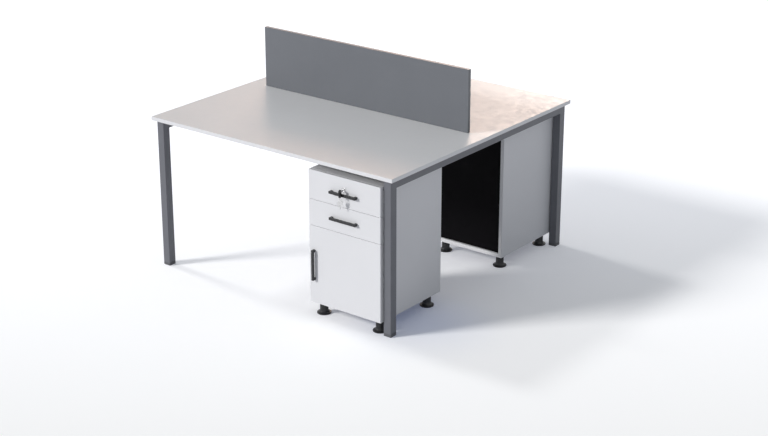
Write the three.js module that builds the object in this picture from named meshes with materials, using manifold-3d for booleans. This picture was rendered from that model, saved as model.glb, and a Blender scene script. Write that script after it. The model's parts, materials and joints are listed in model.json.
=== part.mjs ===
// Benching desk for two: two worktops on two portal end frames, a dividing screen on the
// centre line, and two pedestals with two drawers over a door, standing at the same end.
// Millimetres, +Z up. X runs along the desk's length, -Y is the front user's side.
// The origin is on the floor under the middle of the desk.

import * as THREE from 'three';
import { mergeVertices } from 'three/addons/utils/BufferGeometryUtils.js';
import Module from 'manifold-3d';

const wasm = await Module();
wasm.setup();

// Desk
const DESK_LENGTH = 1400;
const DESK_DEPTH = 1400;
const DESK_HEIGHT = 740;
const TOP_THICKNESS = 18;
const TOP_SEAM = 1;
const BOARD_EASE = 1;

// Steel frame
const TUBE = 40;
const TUBE_WALL = 2;
const TUBE_RADIUS = 3;
const FRAME_INSET = 18;
const SHOE_HEIGHT = 14;
const SHOE_SPIGOT = 22;
const BEAM_PED_GAP = 2;
const BEAM_PLATE = 4;
const BEAM_PLATE_WIDTH = 110;
const BEAM_VENT = 10;

// Dividing screen and the stud plates that hold it
const SCREEN_LENGTH = 1200;
const SCREEN_HEIGHT = 296;
const SCREEN_THICKNESS = 18;
const STUD_SPACING = 900;
const STUD_DIAMETER = 8;
const STUD_DEPTH = 30;
const STUD_PLATE_LENGTH = 60;
const STUD_PLATE_WIDTH = 80;
const STUD_PLATE = 4;

// Pedestal carcass
const PED_WIDTH = 396;
const PED_DEPTH = 440;
const PED_TOP_GAP = 34;
const PED_LEG_GAP = 4;
const PED_SETBACK = 3;
const REAR_PED_INSET = 24;
const BOARD = 18;
const BACK_THICKNESS = 8;
const BACK_RECESS = 10;

// Pedestal fronts
const FRONT_THICKNESS = 18;
const FRONT_GAP = 2;
const FRONT_REVEAL = 1;
const PANEL_GAP = 2;
const UPPER_FRONT_HEIGHT = 135;
const LOWER_FRONT_HEIGHT = 120;

// Drawer boxes and their slides
const BOX_WALL = 12;
const BOX_BOTTOM = 6;
const BOX_HEIGHT = 90;
const BOX_BACK_GAP = 24;
const BOX_RISE = 10;
const SLIDE_THICKNESS = 12.5;
const SLIDE_HEIGHT = 35;
const SLIDE_SHEET = 1.5;
const SLIDE_SHORT = 10;
const SLIDE_LIP = 4;

// Bar handles
const HANDLE_LENGTH = 145;
const HANDLE_HEIGHT = 12;
const HANDLE_DEPTH = 10;
const HANDLE_RADIUS = 2;
const HANDLE_REACH = 8;
const HANDLE_POST = 11;
const HANDLE_POST_SPACING = 132;
const UPPER_HANDLE_DROP = 8;
const DOOR_HANDLE_INSET = 27;

// Cam lock with its key
const LOCK_CLEAR = 4.5;
const BARREL_DIAMETER = 18;
const BARREL_FLANGE = 22;
const BARREL_FLANGE_DEPTH = 3;
const BARREL_TAIL = 6;
const PLUG_DIAMETER = 12;
const CAM_LENGTH = 34;
const CAM_WIDTH = 12;
const CAM_THICKNESS = 2.5;
const STRIKE_WIDTH = 40;
const STRIKE_DROP = 12;
const STRIKE_THICKNESS = 2;
const LOCK_NOTCH_WIDTH = 90;
const LOCK_NOTCH_DROP = 20;
const KEY_CLEAR = 1;
const KEY_NECK_WIDTH = 7;
const KEY_THICKNESS = 2.6;
const KEY_HEAD_WIDTH = 16;
const KEY_HEAD_LENGTH = 37;
const KEY_HEAD_THICKNESS = 5;
const KEY_HOLE = 7;
const KEY_HOLE_EDGE = 6.5;
const SPARE_BOW_WIDTH = 28;
const SPARE_BOW_HEIGHT = 26;
const SPARE_HOLE_OFFSET = 8;
const SPARE_BLADE_LENGTH = 16;
const SPARE_TIP = 3;
const SPARE_TURN = 15;
const RING_DIAMETER = 17;
const RING_WIRE = 1.6;
const RING_REST = 0.95;
const RING_TURN = -25;

// Concealed door hinges
const HINGE_INSET = 80;
const HINGE_FLANGE = 1;
const HINGE_FLANGE_WIDTH = 42;
const HINGE_FLANGE_HEIGHT = 46;
const HINGE_EDGE = 5;
const HINGE_CUP = 26;
const HINGE_CUP_DEPTH = 9;
const HINGE_ARM_LENGTH = 70;
const HINGE_ARM_HEIGHT = 15;
const HINGE_ARM_DEPTH = 24;
const HINGE_ARM_THICKNESS = 12;
const HINGE_PLATE_HEIGHT = 48;
const HINGE_PLATE_LENGTH = 32;
const HINGE_PLATE = 3;

// Pedestal feet
const FOOT_HEIGHT = 62;
const FOOT_DISC = 65;
const FOOT_RIM = 6;
const FOOT_FILLET = 15;
const FOOT_NECK = 38;
const FOOT_STUD = 8;
const FOOT_STUD_LENGTH = 16;
const FOOT_INSET_SIDE = 40;
const FOOT_INSET_END = 48;

// Clearances and facet counts
const SEAT = 0.3;
const SLIP = 0.3;
const CUT_PAST = 1;
const BITE = 1;
const ROUND_SIDES = 24;
const STUD_SIDES = 16;
const WIRE_SIDES = 6;
const CORNER_STEPS = 3;
const FILLET_STEPS = 5;
const MERGE_WITHIN = 1e-4;

// Derived places that several pieces share
const topUnderside = DESK_HEIGHT - TOP_THICKNESS;
const frameOuter = DESK_LENGTH / 2 - FRAME_INSET;
const frameInner = frameOuter - TUBE;
const legOuter = DESK_DEPTH / 2 - FRAME_INSET;
const legInner = legOuter - TUBE;
const railTop = topUnderside - SEAT;
const pedCentreX = frameInner - PED_LEG_GAP - PED_WIDTH / 2;
const pedCentreY = DESK_DEPTH / 2 - PED_SETBACK - PED_DEPTH / 2;
const rearPedCentreY = pedCentreY - REAR_PED_INSET;
const beamY = rearPedCentreY - PED_DEPTH / 2 - BEAM_PED_GAP - BEAM_PLATE_WIDTH / 2;

// Pedestal frame: origin on the floor under its middle, fronts toward -Y
const pedHalf = PED_WIDTH / 2;
const pedInside = pedHalf - BOARD;
const pedBack = PED_DEPTH / 2;
const frontFace = -PED_DEPTH / 2;
const frontBack = frontFace + FRONT_THICKNESS;
const carcassFront = frontBack + FRONT_GAP;
const pedBottom = FOOT_HEIGHT;
const pedTop = topUnderside - PED_TOP_GAP;
const frontHalf = pedHalf - FRONT_REVEAL;
const upperBottom = pedTop - UPPER_FRONT_HEIGHT;
const lowerTop = upperBottom - PANEL_GAP;
const lowerBottom = lowerTop - LOWER_FRONT_HEIGHT;
const doorTop = lowerBottom - PANEL_GAP;
const boxHalf = pedInside - SLIDE_THICKNESS;
const boxFront = frontBack + SEAT;
const backFace = pedBack - BACK_RECESS;
const backInside = backFace - BACK_THICKNESS;
const boxLength = backInside - BOX_BACK_GAP - boxFront;
const slideLength = boxLength - SLIDE_SHORT;
const handleFace = frontFace - SEAT;
const handleFront = handleFace - HANDLE_REACH - HANDLE_DEPTH;
const upperHandleZ = (upperBottom + pedTop) / 2 - UPPER_HANDLE_DROP;
const lockZ = upperHandleZ + HANDLE_HEIGHT / 2 + LOCK_CLEAR + BARREL_FLANGE / 2;
const keyPinY = handleFront - KEY_CLEAR - KEY_HEAD_WIDTH / 2;
const keyHeadEnd = lockZ + KEY_HEAD_WIDTH / 2 - KEY_HEAD_LENGTH;
const keyHoleZ = keyHeadEnd + KEY_HOLE_EDGE;
const camFront = frontBack + BARREL_TAIL + SEAT;
const hingeHeights = [pedBottom + HINGE_INSET, doorTop - HINGE_INSET];
const footX = pedHalf - FOOT_INSET_SIDE;
const footY = PED_DEPTH / 2 - FOOT_INSET_END;

// Finishes
const finish = {
  melamine: () => new THREE.MeshStandardMaterial({ color: 0xe2e2e6, roughness: 0.45, metalness: 0 }),
  screen: () => new THREE.MeshStandardMaterial({ color: 0x71757a, roughness: 0.5, metalness: 0 }),
  paint: () => new THREE.MeshStandardMaterial({ color: 0x6c6e73, roughness: 0.5, metalness: 0.2 }),
  backBoard: () => new THREE.MeshStandardMaterial({ color: 0x121114, roughness: 0.6, metalness: 0 }),
  plastic: () => new THREE.MeshStandardMaterial({ color: 0x1d1e21, roughness: 0.5, metalness: 0 }),
  steel: () => new THREE.MeshStandardMaterial({ color: 0xb9bbbe, roughness: 0.35, metalness: 1 }),
  chrome: () => new THREE.MeshStandardMaterial({ color: 0xd6d8da, roughness: 0.15, metalness: 1 }),
};

// A closed solid from a three.js geometry, with its shared vertices merged
function solid(geometry) {
  geometry.deleteAttribute('normal');
  geometry.deleteAttribute('uv');
  const merged = mergeVertices(geometry, MERGE_WITHIN);
  const corners = merged.index.array;
  const triangles = [];
  for (let i = 0; i < corners.length; i += 3) {
    const [a, b, c] = [corners[i], corners[i + 1], corners[i + 2]];
    if (a !== b && b !== c && c !== a) triangles.push(a, b, c);
  }
  return new wasm.Manifold(new wasm.Mesh({
    numProp: 3,
    vertProperties: merged.attributes.position.array,
    triVerts: Uint32Array.from(triangles),
  }));
}

// A named mesh of a finished solid, added to its group
function piece(group, name, shape, material) {
  const faces = shape.getMesh();
  const geometry = new THREE.BufferGeometry();
  geometry.setAttribute('position', new THREE.BufferAttribute(faces.vertProperties, 3));
  geometry.setIndex(new THREE.BufferAttribute(faces.triVerts, 1));
  geometry.computeVertexNormals();
  const mesh = new THREE.Mesh(geometry, material());
  mesh.name = name;
  group.add(mesh);
}

const span = ([low, high]) => high - low;
const middle = ([low, high]) => (low + high) / 2;
const around = (centre, width) => [centre - width / 2, centre + width / 2];
const ordered = (a, b) => [Math.min(a, b), Math.max(a, b)];

// A plain block between three [low, high] pairs
function block(x, y, z) {
  const geometry = new THREE.BoxGeometry(span(x), span(y), span(z));
  geometry.translate(middle(x), middle(y), middle(z));
  return solid(geometry);
}

// Turns an extrusion along Z so that it runs along the named axis, and centres it in its block
function placeExtrusion(geometry, axis, x, y, z) {
  geometry.center();
  if (axis === 'x') geometry.rotateY(Math.PI / 2);
  if (axis === 'y') geometry.rotateX(Math.PI / 2);
  geometry.translate(middle(x), middle(y), middle(z));
  return solid(geometry);
}

function sectionSize(axis, x, y, z) {
  if (axis === 'x') return [span(z), span(y), span(x)];
  if (axis === 'y') return [span(x), span(z), span(y)];
  return [span(x), span(y), span(z)];
}

// A board with eased edges round both faces; the axis is the board's thickness
function board(axis, x, y, z) {
  const [width, height, thickness] = sectionSize(axis, x, y, z);
  const outline = new THREE.Shape();
  outline.moveTo(0, 0);
  outline.lineTo(width, 0);
  outline.lineTo(width, height);
  outline.lineTo(0, height);
  const geometry = new THREE.ExtrudeGeometry(outline, {
    depth: thickness - 2 * BOARD_EASE,
    bevelThickness: BOARD_EASE,
    bevelSize: BOARD_EASE,
    bevelOffset: -BOARD_EASE,
    bevelSegments: 1,
  });
  return placeExtrusion(geometry, axis, x, y, z);
}

function roundedOutline(width, height, radius) {
  const outline = new THREE.Shape();
  outline.moveTo(radius, 0);
  outline.lineTo(width - radius, 0);
  outline.absarc(width - radius, radius, radius, -Math.PI / 2, 0);
  outline.lineTo(width, height - radius);
  outline.absarc(width - radius, height - radius, radius, 0, Math.PI / 2);
  outline.lineTo(radius, height);
  outline.absarc(radius, height - radius, radius, Math.PI / 2, Math.PI);
  outline.lineTo(0, radius);
  outline.absarc(radius, radius, radius, Math.PI, Math.PI * 1.5);
  return outline;
}

// A bar with rounded long edges that runs along the named axis
function roundedBar(axis, radius, x, y, z) {
  const [width, height, length] = sectionSize(axis, x, y, z);
  const geometry = new THREE.ExtrudeGeometry(roundedOutline(width, height, radius), {
    depth: length,
    bevelEnabled: false,
    curveSegments: CORNER_STEPS,
  });
  return placeExtrusion(geometry, axis, x, y, z);
}

// A round rod along the named axis; the place gives its centre line and the ends its span
function rod(axis, diameter, place, ends, sides = ROUND_SIDES) {
  const geometry = new THREE.CylinderGeometry(diameter / 2, diameter / 2, span(ends), sides);
  if (axis === 'x') geometry.rotateZ(-Math.PI / 2);
  if (axis === 'z') geometry.rotateX(Math.PI / 2);
  const [u, v] = place;
  const centre = middle(ends);
  if (axis === 'x') geometry.translate(centre, u, v);
  if (axis === 'y') geometry.translate(u, centre, v);
  if (axis === 'z') geometry.translate(u, v, centre);
  return solid(geometry);
}

// Worktops: two boards that meet on the centre line, notched for the screen's studs
function addWorktop(group, name, side) {
  const x = around(0, DESK_LENGTH);
  const y = ordered((side * TOP_SEAM) / 2, (side * DESK_DEPTH) / 2);
  let top = board('z', x, y, [topUnderside, DESK_HEIGHT]);
  for (const studX of around(0, STUD_SPACING)) {
    const bore = STUD_DIAMETER + 2 * SLIP;
    const through = [topUnderside - SEAT, DESK_HEIGHT + SEAT];
    top = top.subtract(rod('z', bore, [studX, 0], through, STUD_SIDES));
  }
  piece(group, name, top, finish.melamine);
}

// End frames: two legs and a top rail of square tube, welded at the corners and open at the feet
function addEndFrame(group, name, side) {
  const x = ordered(side * frameInner, side * frameOuter);
  const xBore = [x[0] + TUBE_WALL, x[1] - TUBE_WALL];
  const legZ = [SHOE_HEIGHT + SEAT, railTop];
  const rail = [railTop - TUBE, railTop];
  let frame = roundedBar('y', TUBE_RADIUS, x, around(0, 2 * legOuter), rail);
  const railBoreZ = [rail[0] + TUBE_WALL, railTop - TUBE_WALL];
  let bore = block(xBore, around(0, 2 * (legOuter - TUBE_WALL)), railBoreZ);
  for (const end of [-1, 1]) {
    const y = ordered(end * legInner, end * legOuter);
    const yBore = [y[0] + TUBE_WALL, y[1] - TUBE_WALL];
    frame = frame.add(roundedBar('z', TUBE_RADIUS, x, y, legZ));
    bore = bore.add(block(xBore, yBore, [legZ[0] - SEAT, railBoreZ[1]]));
  }
  piece(group, name, frame.subtract(bore), finish.paint);
}

// Leg shoes: a plastic cap flush with the tube, with a spigot that plugs into it
function addLegShoe(group, name, sideX, sideY) {
  const x = ordered(sideX * frameInner, sideX * frameOuter);
  const y = ordered(sideY * legInner, sideY * legOuter);
  const inset = TUBE_WALL + SLIP;
  const cap = roundedBar('z', TUBE_RADIUS, x, y, [0, SHOE_HEIGHT]);
  const spigotX = [x[0] + inset, x[1] - inset];
  const spigotY = [y[0] + inset, y[1] - inset];
  const spigot = block(spigotX, spigotY, [SHOE_HEIGHT / 2, SHOE_HEIGHT + SHOE_SPIGOT]);
  piece(group, name, cap.add(spigot), finish.plastic);
}

// Beams: square tube between the end frames with a bolting plate welded across each end
function addBeam(group, name, side) {
  const y = around(side * beamY, TUBE);
  const z = [railTop - TUBE, railTop];
  const reach = frameInner - SEAT;
  const bore = reach - BEAM_PLATE;
  const yBore = [y[0] + TUBE_WALL, y[1] - TUBE_WALL];
  const zBore = [z[0] + TUBE_WALL, z[1] - TUBE_WALL];
  let beam = roundedBar('x', TUBE_RADIUS, around(0, 2 * bore + BEAM_PLATE), y, z);
  for (const end of [-1, 1]) {
    const plateX = ordered(end * bore, end * reach);
    beam = beam.add(block(plateX, around(middle(y), BEAM_PLATE_WIDTH), z));
  }
  beam = beam.subtract(block(around(0, 2 * bore), yBore, zBore));
  for (const end of [-1, 1]) {
    const place = [end * (bore - TUBE), middle(y)];
    beam = beam.subtract(rod('z', BEAM_VENT, place, [z[0] - SEAT, middle(z)], STUD_SIDES));
  }
  piece(group, name, beam, finish.paint);
}

// Screen: a grey board that stands over the seam, bored for its studs
function addScreen(group) {
  const z = [DESK_HEIGHT + SEAT, DESK_HEIGHT + SCREEN_HEIGHT];
  let screen = board('y', around(0, SCREEN_LENGTH), around(0, SCREEN_THICKNESS), z);
  for (const studX of around(0, STUD_SPACING)) {
    const bore = [DESK_HEIGHT - SEAT, DESK_HEIGHT + STUD_DEPTH + SLIP];
    screen = screen.subtract(rod('z', STUD_DIAMETER + 2 * SLIP, [studX, 0], bore, STUD_SIDES));
  }
  piece(group, 'privacy_screen', screen, finish.screen);
}

// Stud plates: a flat plate under the seam with a stud up through it into the screen
function addStudPlate(group, name, side) {
  const x = (side * STUD_SPACING) / 2;
  const z = [railTop - STUD_PLATE, railTop];
  const plate = block(around(x, STUD_PLATE_LENGTH), around(0, STUD_PLATE_WIDTH), z);
  const stud = rod('z', STUD_DIAMETER, [x, 0], [z[0], DESK_HEIGHT + STUD_DEPTH], STUD_SIDES);
  piece(group, name, plate.add(stud), finish.steel);
}

// Carcass: sides, top, bottom and a recessed dark back
function addCarcass(group, prefix) {
  const depth = [carcassFront, pedBack];
  const sideZ = [pedBottom, pedTop - BOARD - SEAT];
  const left = [-pedHalf, -pedInside];
  piece(group, `${prefix}_side_left`, board('x', left, depth, sideZ), finish.melamine);

  const right = [pedInside, pedHalf];
  let hingeSide = board('x', right, depth, sideZ);
  for (const z of hingeHeights) hingeSide = hingeSide.add(hingeArm(z));
  piece(group, `${prefix}_side_right`, hingeSide, finish.melamine);

  const top = board('z', around(0, PED_WIDTH), depth, [pedTop - BOARD, pedTop]);
  const strikeZ = [pedTop - BOARD - STRIKE_DROP, pedTop - BOARD / 2];
  const strikeY = [carcassFront + BOARD_EASE, carcassFront + BOARD_EASE + STRIKE_THICKNESS];
  const strike = block(around(0, STRIKE_WIDTH), strikeY, strikeZ);
  piece(group, `${prefix}_top`, top.add(strike), finish.melamine);

  const inside = around(0, 2 * (pedInside - SEAT));
  let bottom = board('z', inside, depth, [pedBottom, pedBottom + BOARD]);
  const through = [pedBottom - SEAT, pedBottom + BOARD + SEAT];
  for (const [x, y] of footPlaces()) {
    bottom = bottom.subtract(rod('z', FOOT_STUD + 2 * SLIP, [x, y], through, STUD_SIDES));
  }
  piece(group, `${prefix}_bottom`, bottom, finish.melamine);

  const backZ = [pedBottom + BOARD + SEAT, pedTop - BOARD - SEAT];
  const back = block(inside, [backInside, backFace], backZ);
  piece(group, `${prefix}_back`, back, finish.backBoard);
}

// Hinge arm: a mounting plate on the side panel and an arm that reaches the cup's flange
function hingeArm(z) {
  const armFront = frontBack + HINGE_FLANGE + SEAT;
  const armY = [armFront, armFront + HINGE_ARM_LENGTH];
  const tip = [armFront, armFront + HINGE_ARM_THICKNESS];
  const plateY = around(armY[1] - HINGE_PLATE_LENGTH / 2, HINGE_PLATE_LENGTH);
  const plateX = [pedInside - HINGE_PLATE, pedInside + BITE];
  const armX = [pedInside - HINGE_ARM_THICKNESS, pedInside - SEAT];
  const hookX = [pedInside - HINGE_ARM_DEPTH, pedInside - SEAT];
  const armZ = around(z, HINGE_ARM_HEIGHT);
  const plate = block(plateX, plateY, around(z, HINGE_PLATE_HEIGHT));
  const arm = block(armX, armY, armZ);
  const hook = block(hookX, tip, armZ);
  return plate.add(arm).add(hook);
}

function footPlaces() {
  return [[-footX, -footY], [footX, -footY], [-footX, footY], [footX, footY]];
}

// Feet: a flared disc, a fillet and a neck under the bottom panel, with a levelling stud
function addFeet(group, prefix) {
  const names = ['front_left', 'front_right', 'rear_left', 'rear_right'];
  const top = FOOT_HEIGHT - SEAT;
  const disc = FOOT_DISC / 2;
  const neck = FOOT_NECK / 2;
  const flare = disc - neck;
  const points = [
    new THREE.Vector2(0, 0),
    new THREE.Vector2(disc - BOARD_EASE, 0),
    new THREE.Vector2(disc, BOARD_EASE),
  ];
  for (let i = 0; i <= FILLET_STEPS; i += 1) {
    const angle = (i / FILLET_STEPS) * (Math.PI / 2);
    const radius = neck + flare * (1 - Math.sin(angle));
    points.push(new THREE.Vector2(radius, FOOT_RIM + FOOT_FILLET * (1 - Math.cos(angle))));
  }
  points.push(new THREE.Vector2(neck, top), new THREE.Vector2(0, top));
  footPlaces().forEach(([x, y], index) => {
    const geometry = new THREE.LatheGeometry(points, ROUND_SIDES);
    geometry.rotateX(Math.PI / 2);
    geometry.translate(x, y, 0);
    const stud = rod('z', FOOT_STUD, [x, y], [top - FOOT_RIM, top + FOOT_STUD_LENGTH], STUD_SIDES);
    piece(group, `${prefix}_foot_${names[index]}`, solid(geometry).add(stud), finish.plastic);
  });
}

// Bar handle on two posts; it lies along X, or along Z on the door
function barHandle(axis, x, z) {
  const barY = [handleFront, handleFront + HANDLE_DEPTH];
  const postY = [barY[0] + HANDLE_DEPTH / 2, handleFace];
  const along = axis === 'x' ? x : z;
  const across = axis === 'x' ? z : x;
  const length = around(along, HANDLE_LENGTH);
  const height = around(across, HANDLE_HEIGHT);
  const barX = axis === 'x' ? length : height;
  const barZ = axis === 'x' ? height : length;
  let handle = roundedBar(axis, HANDLE_RADIUS, barX, barY, barZ);
  for (const post of around(along, HANDLE_POST_SPACING)) {
    const postX = around(axis === 'x' ? post : x, HANDLE_POST);
    const postZ = around(axis === 'x' ? z : post, HANDLE_POST);
    handle = handle.add(block(postX, postY, postZ));
  }
  return handle;
}

// Slides: a channel on the carcass side, and the tongue on the drawer box that runs in it
function slideHeight(boxBottom) {
  return boxBottom + BOX_HEIGHT / 2;
}

function addSlides(group, name, boxBottom) {
  const z = around(slideHeight(boxBottom), SLIDE_HEIGHT);
  const y = [carcassFront + SEAT, carcassFront + SEAT + slideLength];
  const reach = SLIDE_THICKNESS - SEAT - SLIP;
  for (const [label, side] of [['left', -1], ['right', 1]]) {
    const wall = side * (pedInside - SEAT);
    const channel = block(ordered(wall, wall - side * reach), y, z);
    const hollowZ = [z[0] + SLIDE_SHEET, z[1] - SLIDE_SHEET];
    const hollowX = ordered(wall - side * SLIDE_SHEET, wall - side * (reach - SLIDE_SHEET));
    const mouthZ = [hollowZ[0] + SLIDE_LIP, hollowZ[1] - SLIDE_LIP];
    const mouthX = ordered(wall - side * SLIDE_SHEET, wall - side * (reach + CUT_PAST));
    const past = [y[0] - CUT_PAST, y[1] + CUT_PAST];
    const shape = channel.subtract(block(hollowX, past, hollowZ)).subtract(block(mouthX, past, mouthZ));
    piece(group, `${name}_slide_${label}`, shape, finish.steel);
  }
}

function slideTongue(side, boxBottom) {
  const z = around(slideHeight(boxBottom), SLIDE_HEIGHT);
  const y = [boxFront + BOX_WALL, boxFront + slideLength];
  const wall = side * (pedInside - SEAT);
  const reach = SLIDE_THICKNESS - SEAT - SLIP;
  const headZ = [z[0] + SLIDE_SHEET + SLIP, z[1] - SLIDE_SHEET - SLIP];
  const headX = ordered(wall - side * (SLIDE_SHEET + SLIP), wall - side * (reach - SLIDE_SHEET - SLIP));
  const webZ = [headZ[0] + SLIDE_LIP, headZ[1] - SLIDE_LIP];
  const webX = ordered(wall - side * (SLIDE_SHEET + SLIP), side * (boxHalf - BOX_WALL / 2));
  return block(headX, y, headZ).add(block(webX, y, webZ));
}

// Drawer box: an open tray with the slides' tongues along its sides
function drawerBox(boxBottom, lockNotch) {
  const y = [boxFront, boxFront + boxLength];
  const z = [boxBottom, boxBottom + BOX_HEIGHT];
  let box = block(around(0, 2 * boxHalf), y, z);
  const insideX = around(0, 2 * (boxHalf - BOX_WALL));
  const insideY = [y[0] + BOX_WALL, y[1] - BOX_WALL];
  box = box.subtract(block(insideX, insideY, [z[0] + BOX_BOTTOM, z[1] + SEAT]));
  for (const side of [-1, 1]) box = box.add(slideTongue(side, boxBottom));
  if (lockNotch) {
    const notchY = [y[0] - SEAT, y[0] + BOX_WALL + SEAT];
    const notchZ = [lockZ - LOCK_NOTCH_DROP, z[1] + SEAT];
    box = box.subtract(block(around(0, LOCK_NOTCH_WIDTH), notchY, notchZ));
  }
  return box;
}

function frontPanel(bottom, top) {
  return board('y', around(0, 2 * frontHalf), [frontFace, frontBack], [bottom, top]);
}

function addDrawers(group, prefix) {
  const through = [frontFace - CUT_PAST, frontBack + CUT_PAST];
  const bore = rod('y', BARREL_DIAMETER + 2 * SLIP, [0, lockZ], through);
  const upperFront = frontPanel(upperBottom, pedTop).subtract(bore);
  piece(group, `${prefix}_upper_drawer_front`, upperFront, finish.melamine);
  piece(group, `${prefix}_upper_drawer_box`, drawerBox(upperBottom + BOX_RISE, true), finish.melamine);
  piece(group, `${prefix}_upper_drawer_handle`, barHandle('x', 0, upperHandleZ), finish.plastic);
  addSlides(group, `${prefix}_upper`, upperBottom + BOX_RISE);

  piece(group, `${prefix}_lower_drawer_front`, frontPanel(lowerBottom, lowerTop), finish.melamine);
  piece(group, `${prefix}_lower_drawer_box`, drawerBox(lowerBottom + BOX_RISE, false), finish.melamine);
  const lowerHandleZ = (lowerBottom + lowerTop) / 2;
  piece(group, `${prefix}_lower_drawer_handle`, barHandle('x', 0, lowerHandleZ), finish.plastic);
  addSlides(group, `${prefix}_lower`, lowerBottom + BOX_RISE);
}

// Door: a full-overlay panel with hinge cups let into its back
function addDoor(group, prefix) {
  let door = frontPanel(pedBottom, doorTop);
  const flangeX = [frontHalf - HINGE_EDGE - HINGE_FLANGE_WIDTH, frontHalf - HINGE_EDGE];
  const flangeY = [frontBack - BITE, frontBack + HINGE_FLANGE];
  for (const z of hingeHeights) {
    door = door.add(block(flangeX, flangeY, around(z, HINGE_FLANGE_HEIGHT)));
    const cup = [frontBack - HINGE_CUP_DEPTH, frontBack + HINGE_FLANGE + CUT_PAST];
    door = door.subtract(rod('y', HINGE_CUP, [middle(flangeX), z], cup));
  }
  piece(group, `${prefix}_door`, door, finish.melamine);
  const handle = barHandle('z', -frontHalf + DOOR_HANDLE_INSET, (pedBottom + doorTop) / 2);
  piece(group, `${prefix}_door_handle`, handle, finish.plastic);
}

// Lock barrel: a flanged sleeve through the upper drawer front
function addLockBarrel(group, prefix) {
  const flange = rod('y', BARREL_FLANGE, [0, lockZ], [handleFace - BARREL_FLANGE_DEPTH, handleFace]);
  const sleeveY = [handleFace - BARREL_FLANGE_DEPTH, frontBack + BARREL_TAIL];
  const sleeve = rod('y', BARREL_DIAMETER, [0, lockZ], sleeveY);
  const through = [sleeveY[0] - CUT_PAST, sleeveY[1] + CUT_PAST];
  const bore = rod('y', PLUG_DIAMETER + 2 * SLIP, [0, lockZ], through);
  piece(group, `${prefix}_lock_barrel`, flange.add(sleeve).subtract(bore), finish.chrome);
}

// Key head: a flat plate with round ends, folded down on its pin, with a hole for the ring
function keyHead() {
  const x = around(0, KEY_HEAD_THICKNESS);
  const through = [x[0] - CUT_PAST, x[1] + CUT_PAST];
  const lowerRound = keyHeadEnd + KEY_HEAD_WIDTH / 2;
  let head = block(x, around(keyPinY, KEY_HEAD_WIDTH), [lowerRound, lockZ]);
  for (const z of [lowerRound, lockZ]) {
    head = head.add(rod('x', KEY_HEAD_WIDTH, [keyPinY, z], x));
  }
  return head.subtract(rod('x', KEY_HOLE, [keyPinY, keyHoleZ], through, STUD_SIDES));
}

// Key in its plug, with the cam behind the drawer front; the cam lies level while unlocked
function addKey(group, prefix) {
  const plugFront = handleFace - BARREL_FLANGE_DEPTH;
  const plug = rod('y', PLUG_DIAMETER, [0, lockZ], [plugFront, camFront + CAM_THICKNESS]);
  const cam = block([0, CAM_LENGTH], [camFront, camFront + CAM_THICKNESS], around(lockZ, CAM_WIDTH));
  const neckY = [keyPinY, plugFront + BITE];
  const neck = block(around(0, KEY_THICKNESS), neckY, around(lockZ, KEY_NECK_WIDTH));
  piece(group, `${prefix}_key`, plug.add(cam).add(neck).add(keyHead()), finish.chrome);
}

// The spare key's flat outline, measured from its hole: an oval bow over a short blade
function spareKeyOutline() {
  const half = SPARE_BOW_WIDTH / 2;
  const bladeHalf = KEY_NECK_WIDTH / 2;
  const shoulder = Math.acos(bladeHalf / half);
  const tip = -SPARE_HOLE_OFFSET - SPARE_BOW_HEIGHT / 2 - SPARE_BLADE_LENGTH;
  const outline = new THREE.Shape();
  outline.absellipse(0, -SPARE_HOLE_OFFSET, half, SPARE_BOW_HEIGHT / 2, -shoulder, Math.PI + shoulder);
  outline.lineTo(-bladeHalf, tip + SPARE_TIP);
  outline.lineTo(0, tip);
  outline.lineTo(bladeHalf, tip + SPARE_TIP);
  const hole = new THREE.Path();
  hole.absarc(0, 0, KEY_HOLE / 2, 0, 2 * Math.PI);
  outline.holes.push(hole);
  return outline;
}

// Spare key on a split ring that hangs from the first key's head
function addSpareKey(group, prefix) {
  const wireZ = keyHoleZ - KEY_HOLE / 2 + RING_WIRE / 2 + RING_REST;
  const ringZ = wireZ - RING_DIAMETER / 2;
  const ring = new THREE.TorusGeometry(RING_DIAMETER / 2, RING_WIRE / 2, WIRE_SIDES, ROUND_SIDES);
  ring.rotateX(Math.PI / 2);
  ring.rotateZ(THREE.MathUtils.degToRad(RING_TURN));
  ring.translate(0, keyPinY, ringZ);

  const holeZ = ringZ - RING_DIAMETER / 2 + RING_WIRE / 2 - SEAT - KEY_HOLE / 2;
  const key = new THREE.ExtrudeGeometry(spareKeyOutline(), {
    depth: KEY_THICKNESS,
    bevelEnabled: false,
    curveSegments: ROUND_SIDES,
  });
  key.translate(0, 0, -KEY_THICKNESS / 2);
  key.rotateX(Math.PI / 2);
  key.rotateZ(THREE.MathUtils.degToRad(SPARE_TURN));
  key.translate(0, keyPinY, holeZ);
  piece(group, `${prefix}_spare_key`, solid(ring).add(solid(key)), finish.chrome);
}

function addPedestal(parent, prefix, y, turn) {
  const group = new THREE.Group();
  group.position.set(pedCentreX, y, 0);
  group.rotation.z = turn;
  parent.add(group);
  addCarcass(group, prefix);
  addFeet(group, prefix);
  addDrawers(group, prefix);
  addDoor(group, prefix);
  addLockBarrel(group, prefix);
  addKey(group, prefix);
  return group;
}

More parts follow.
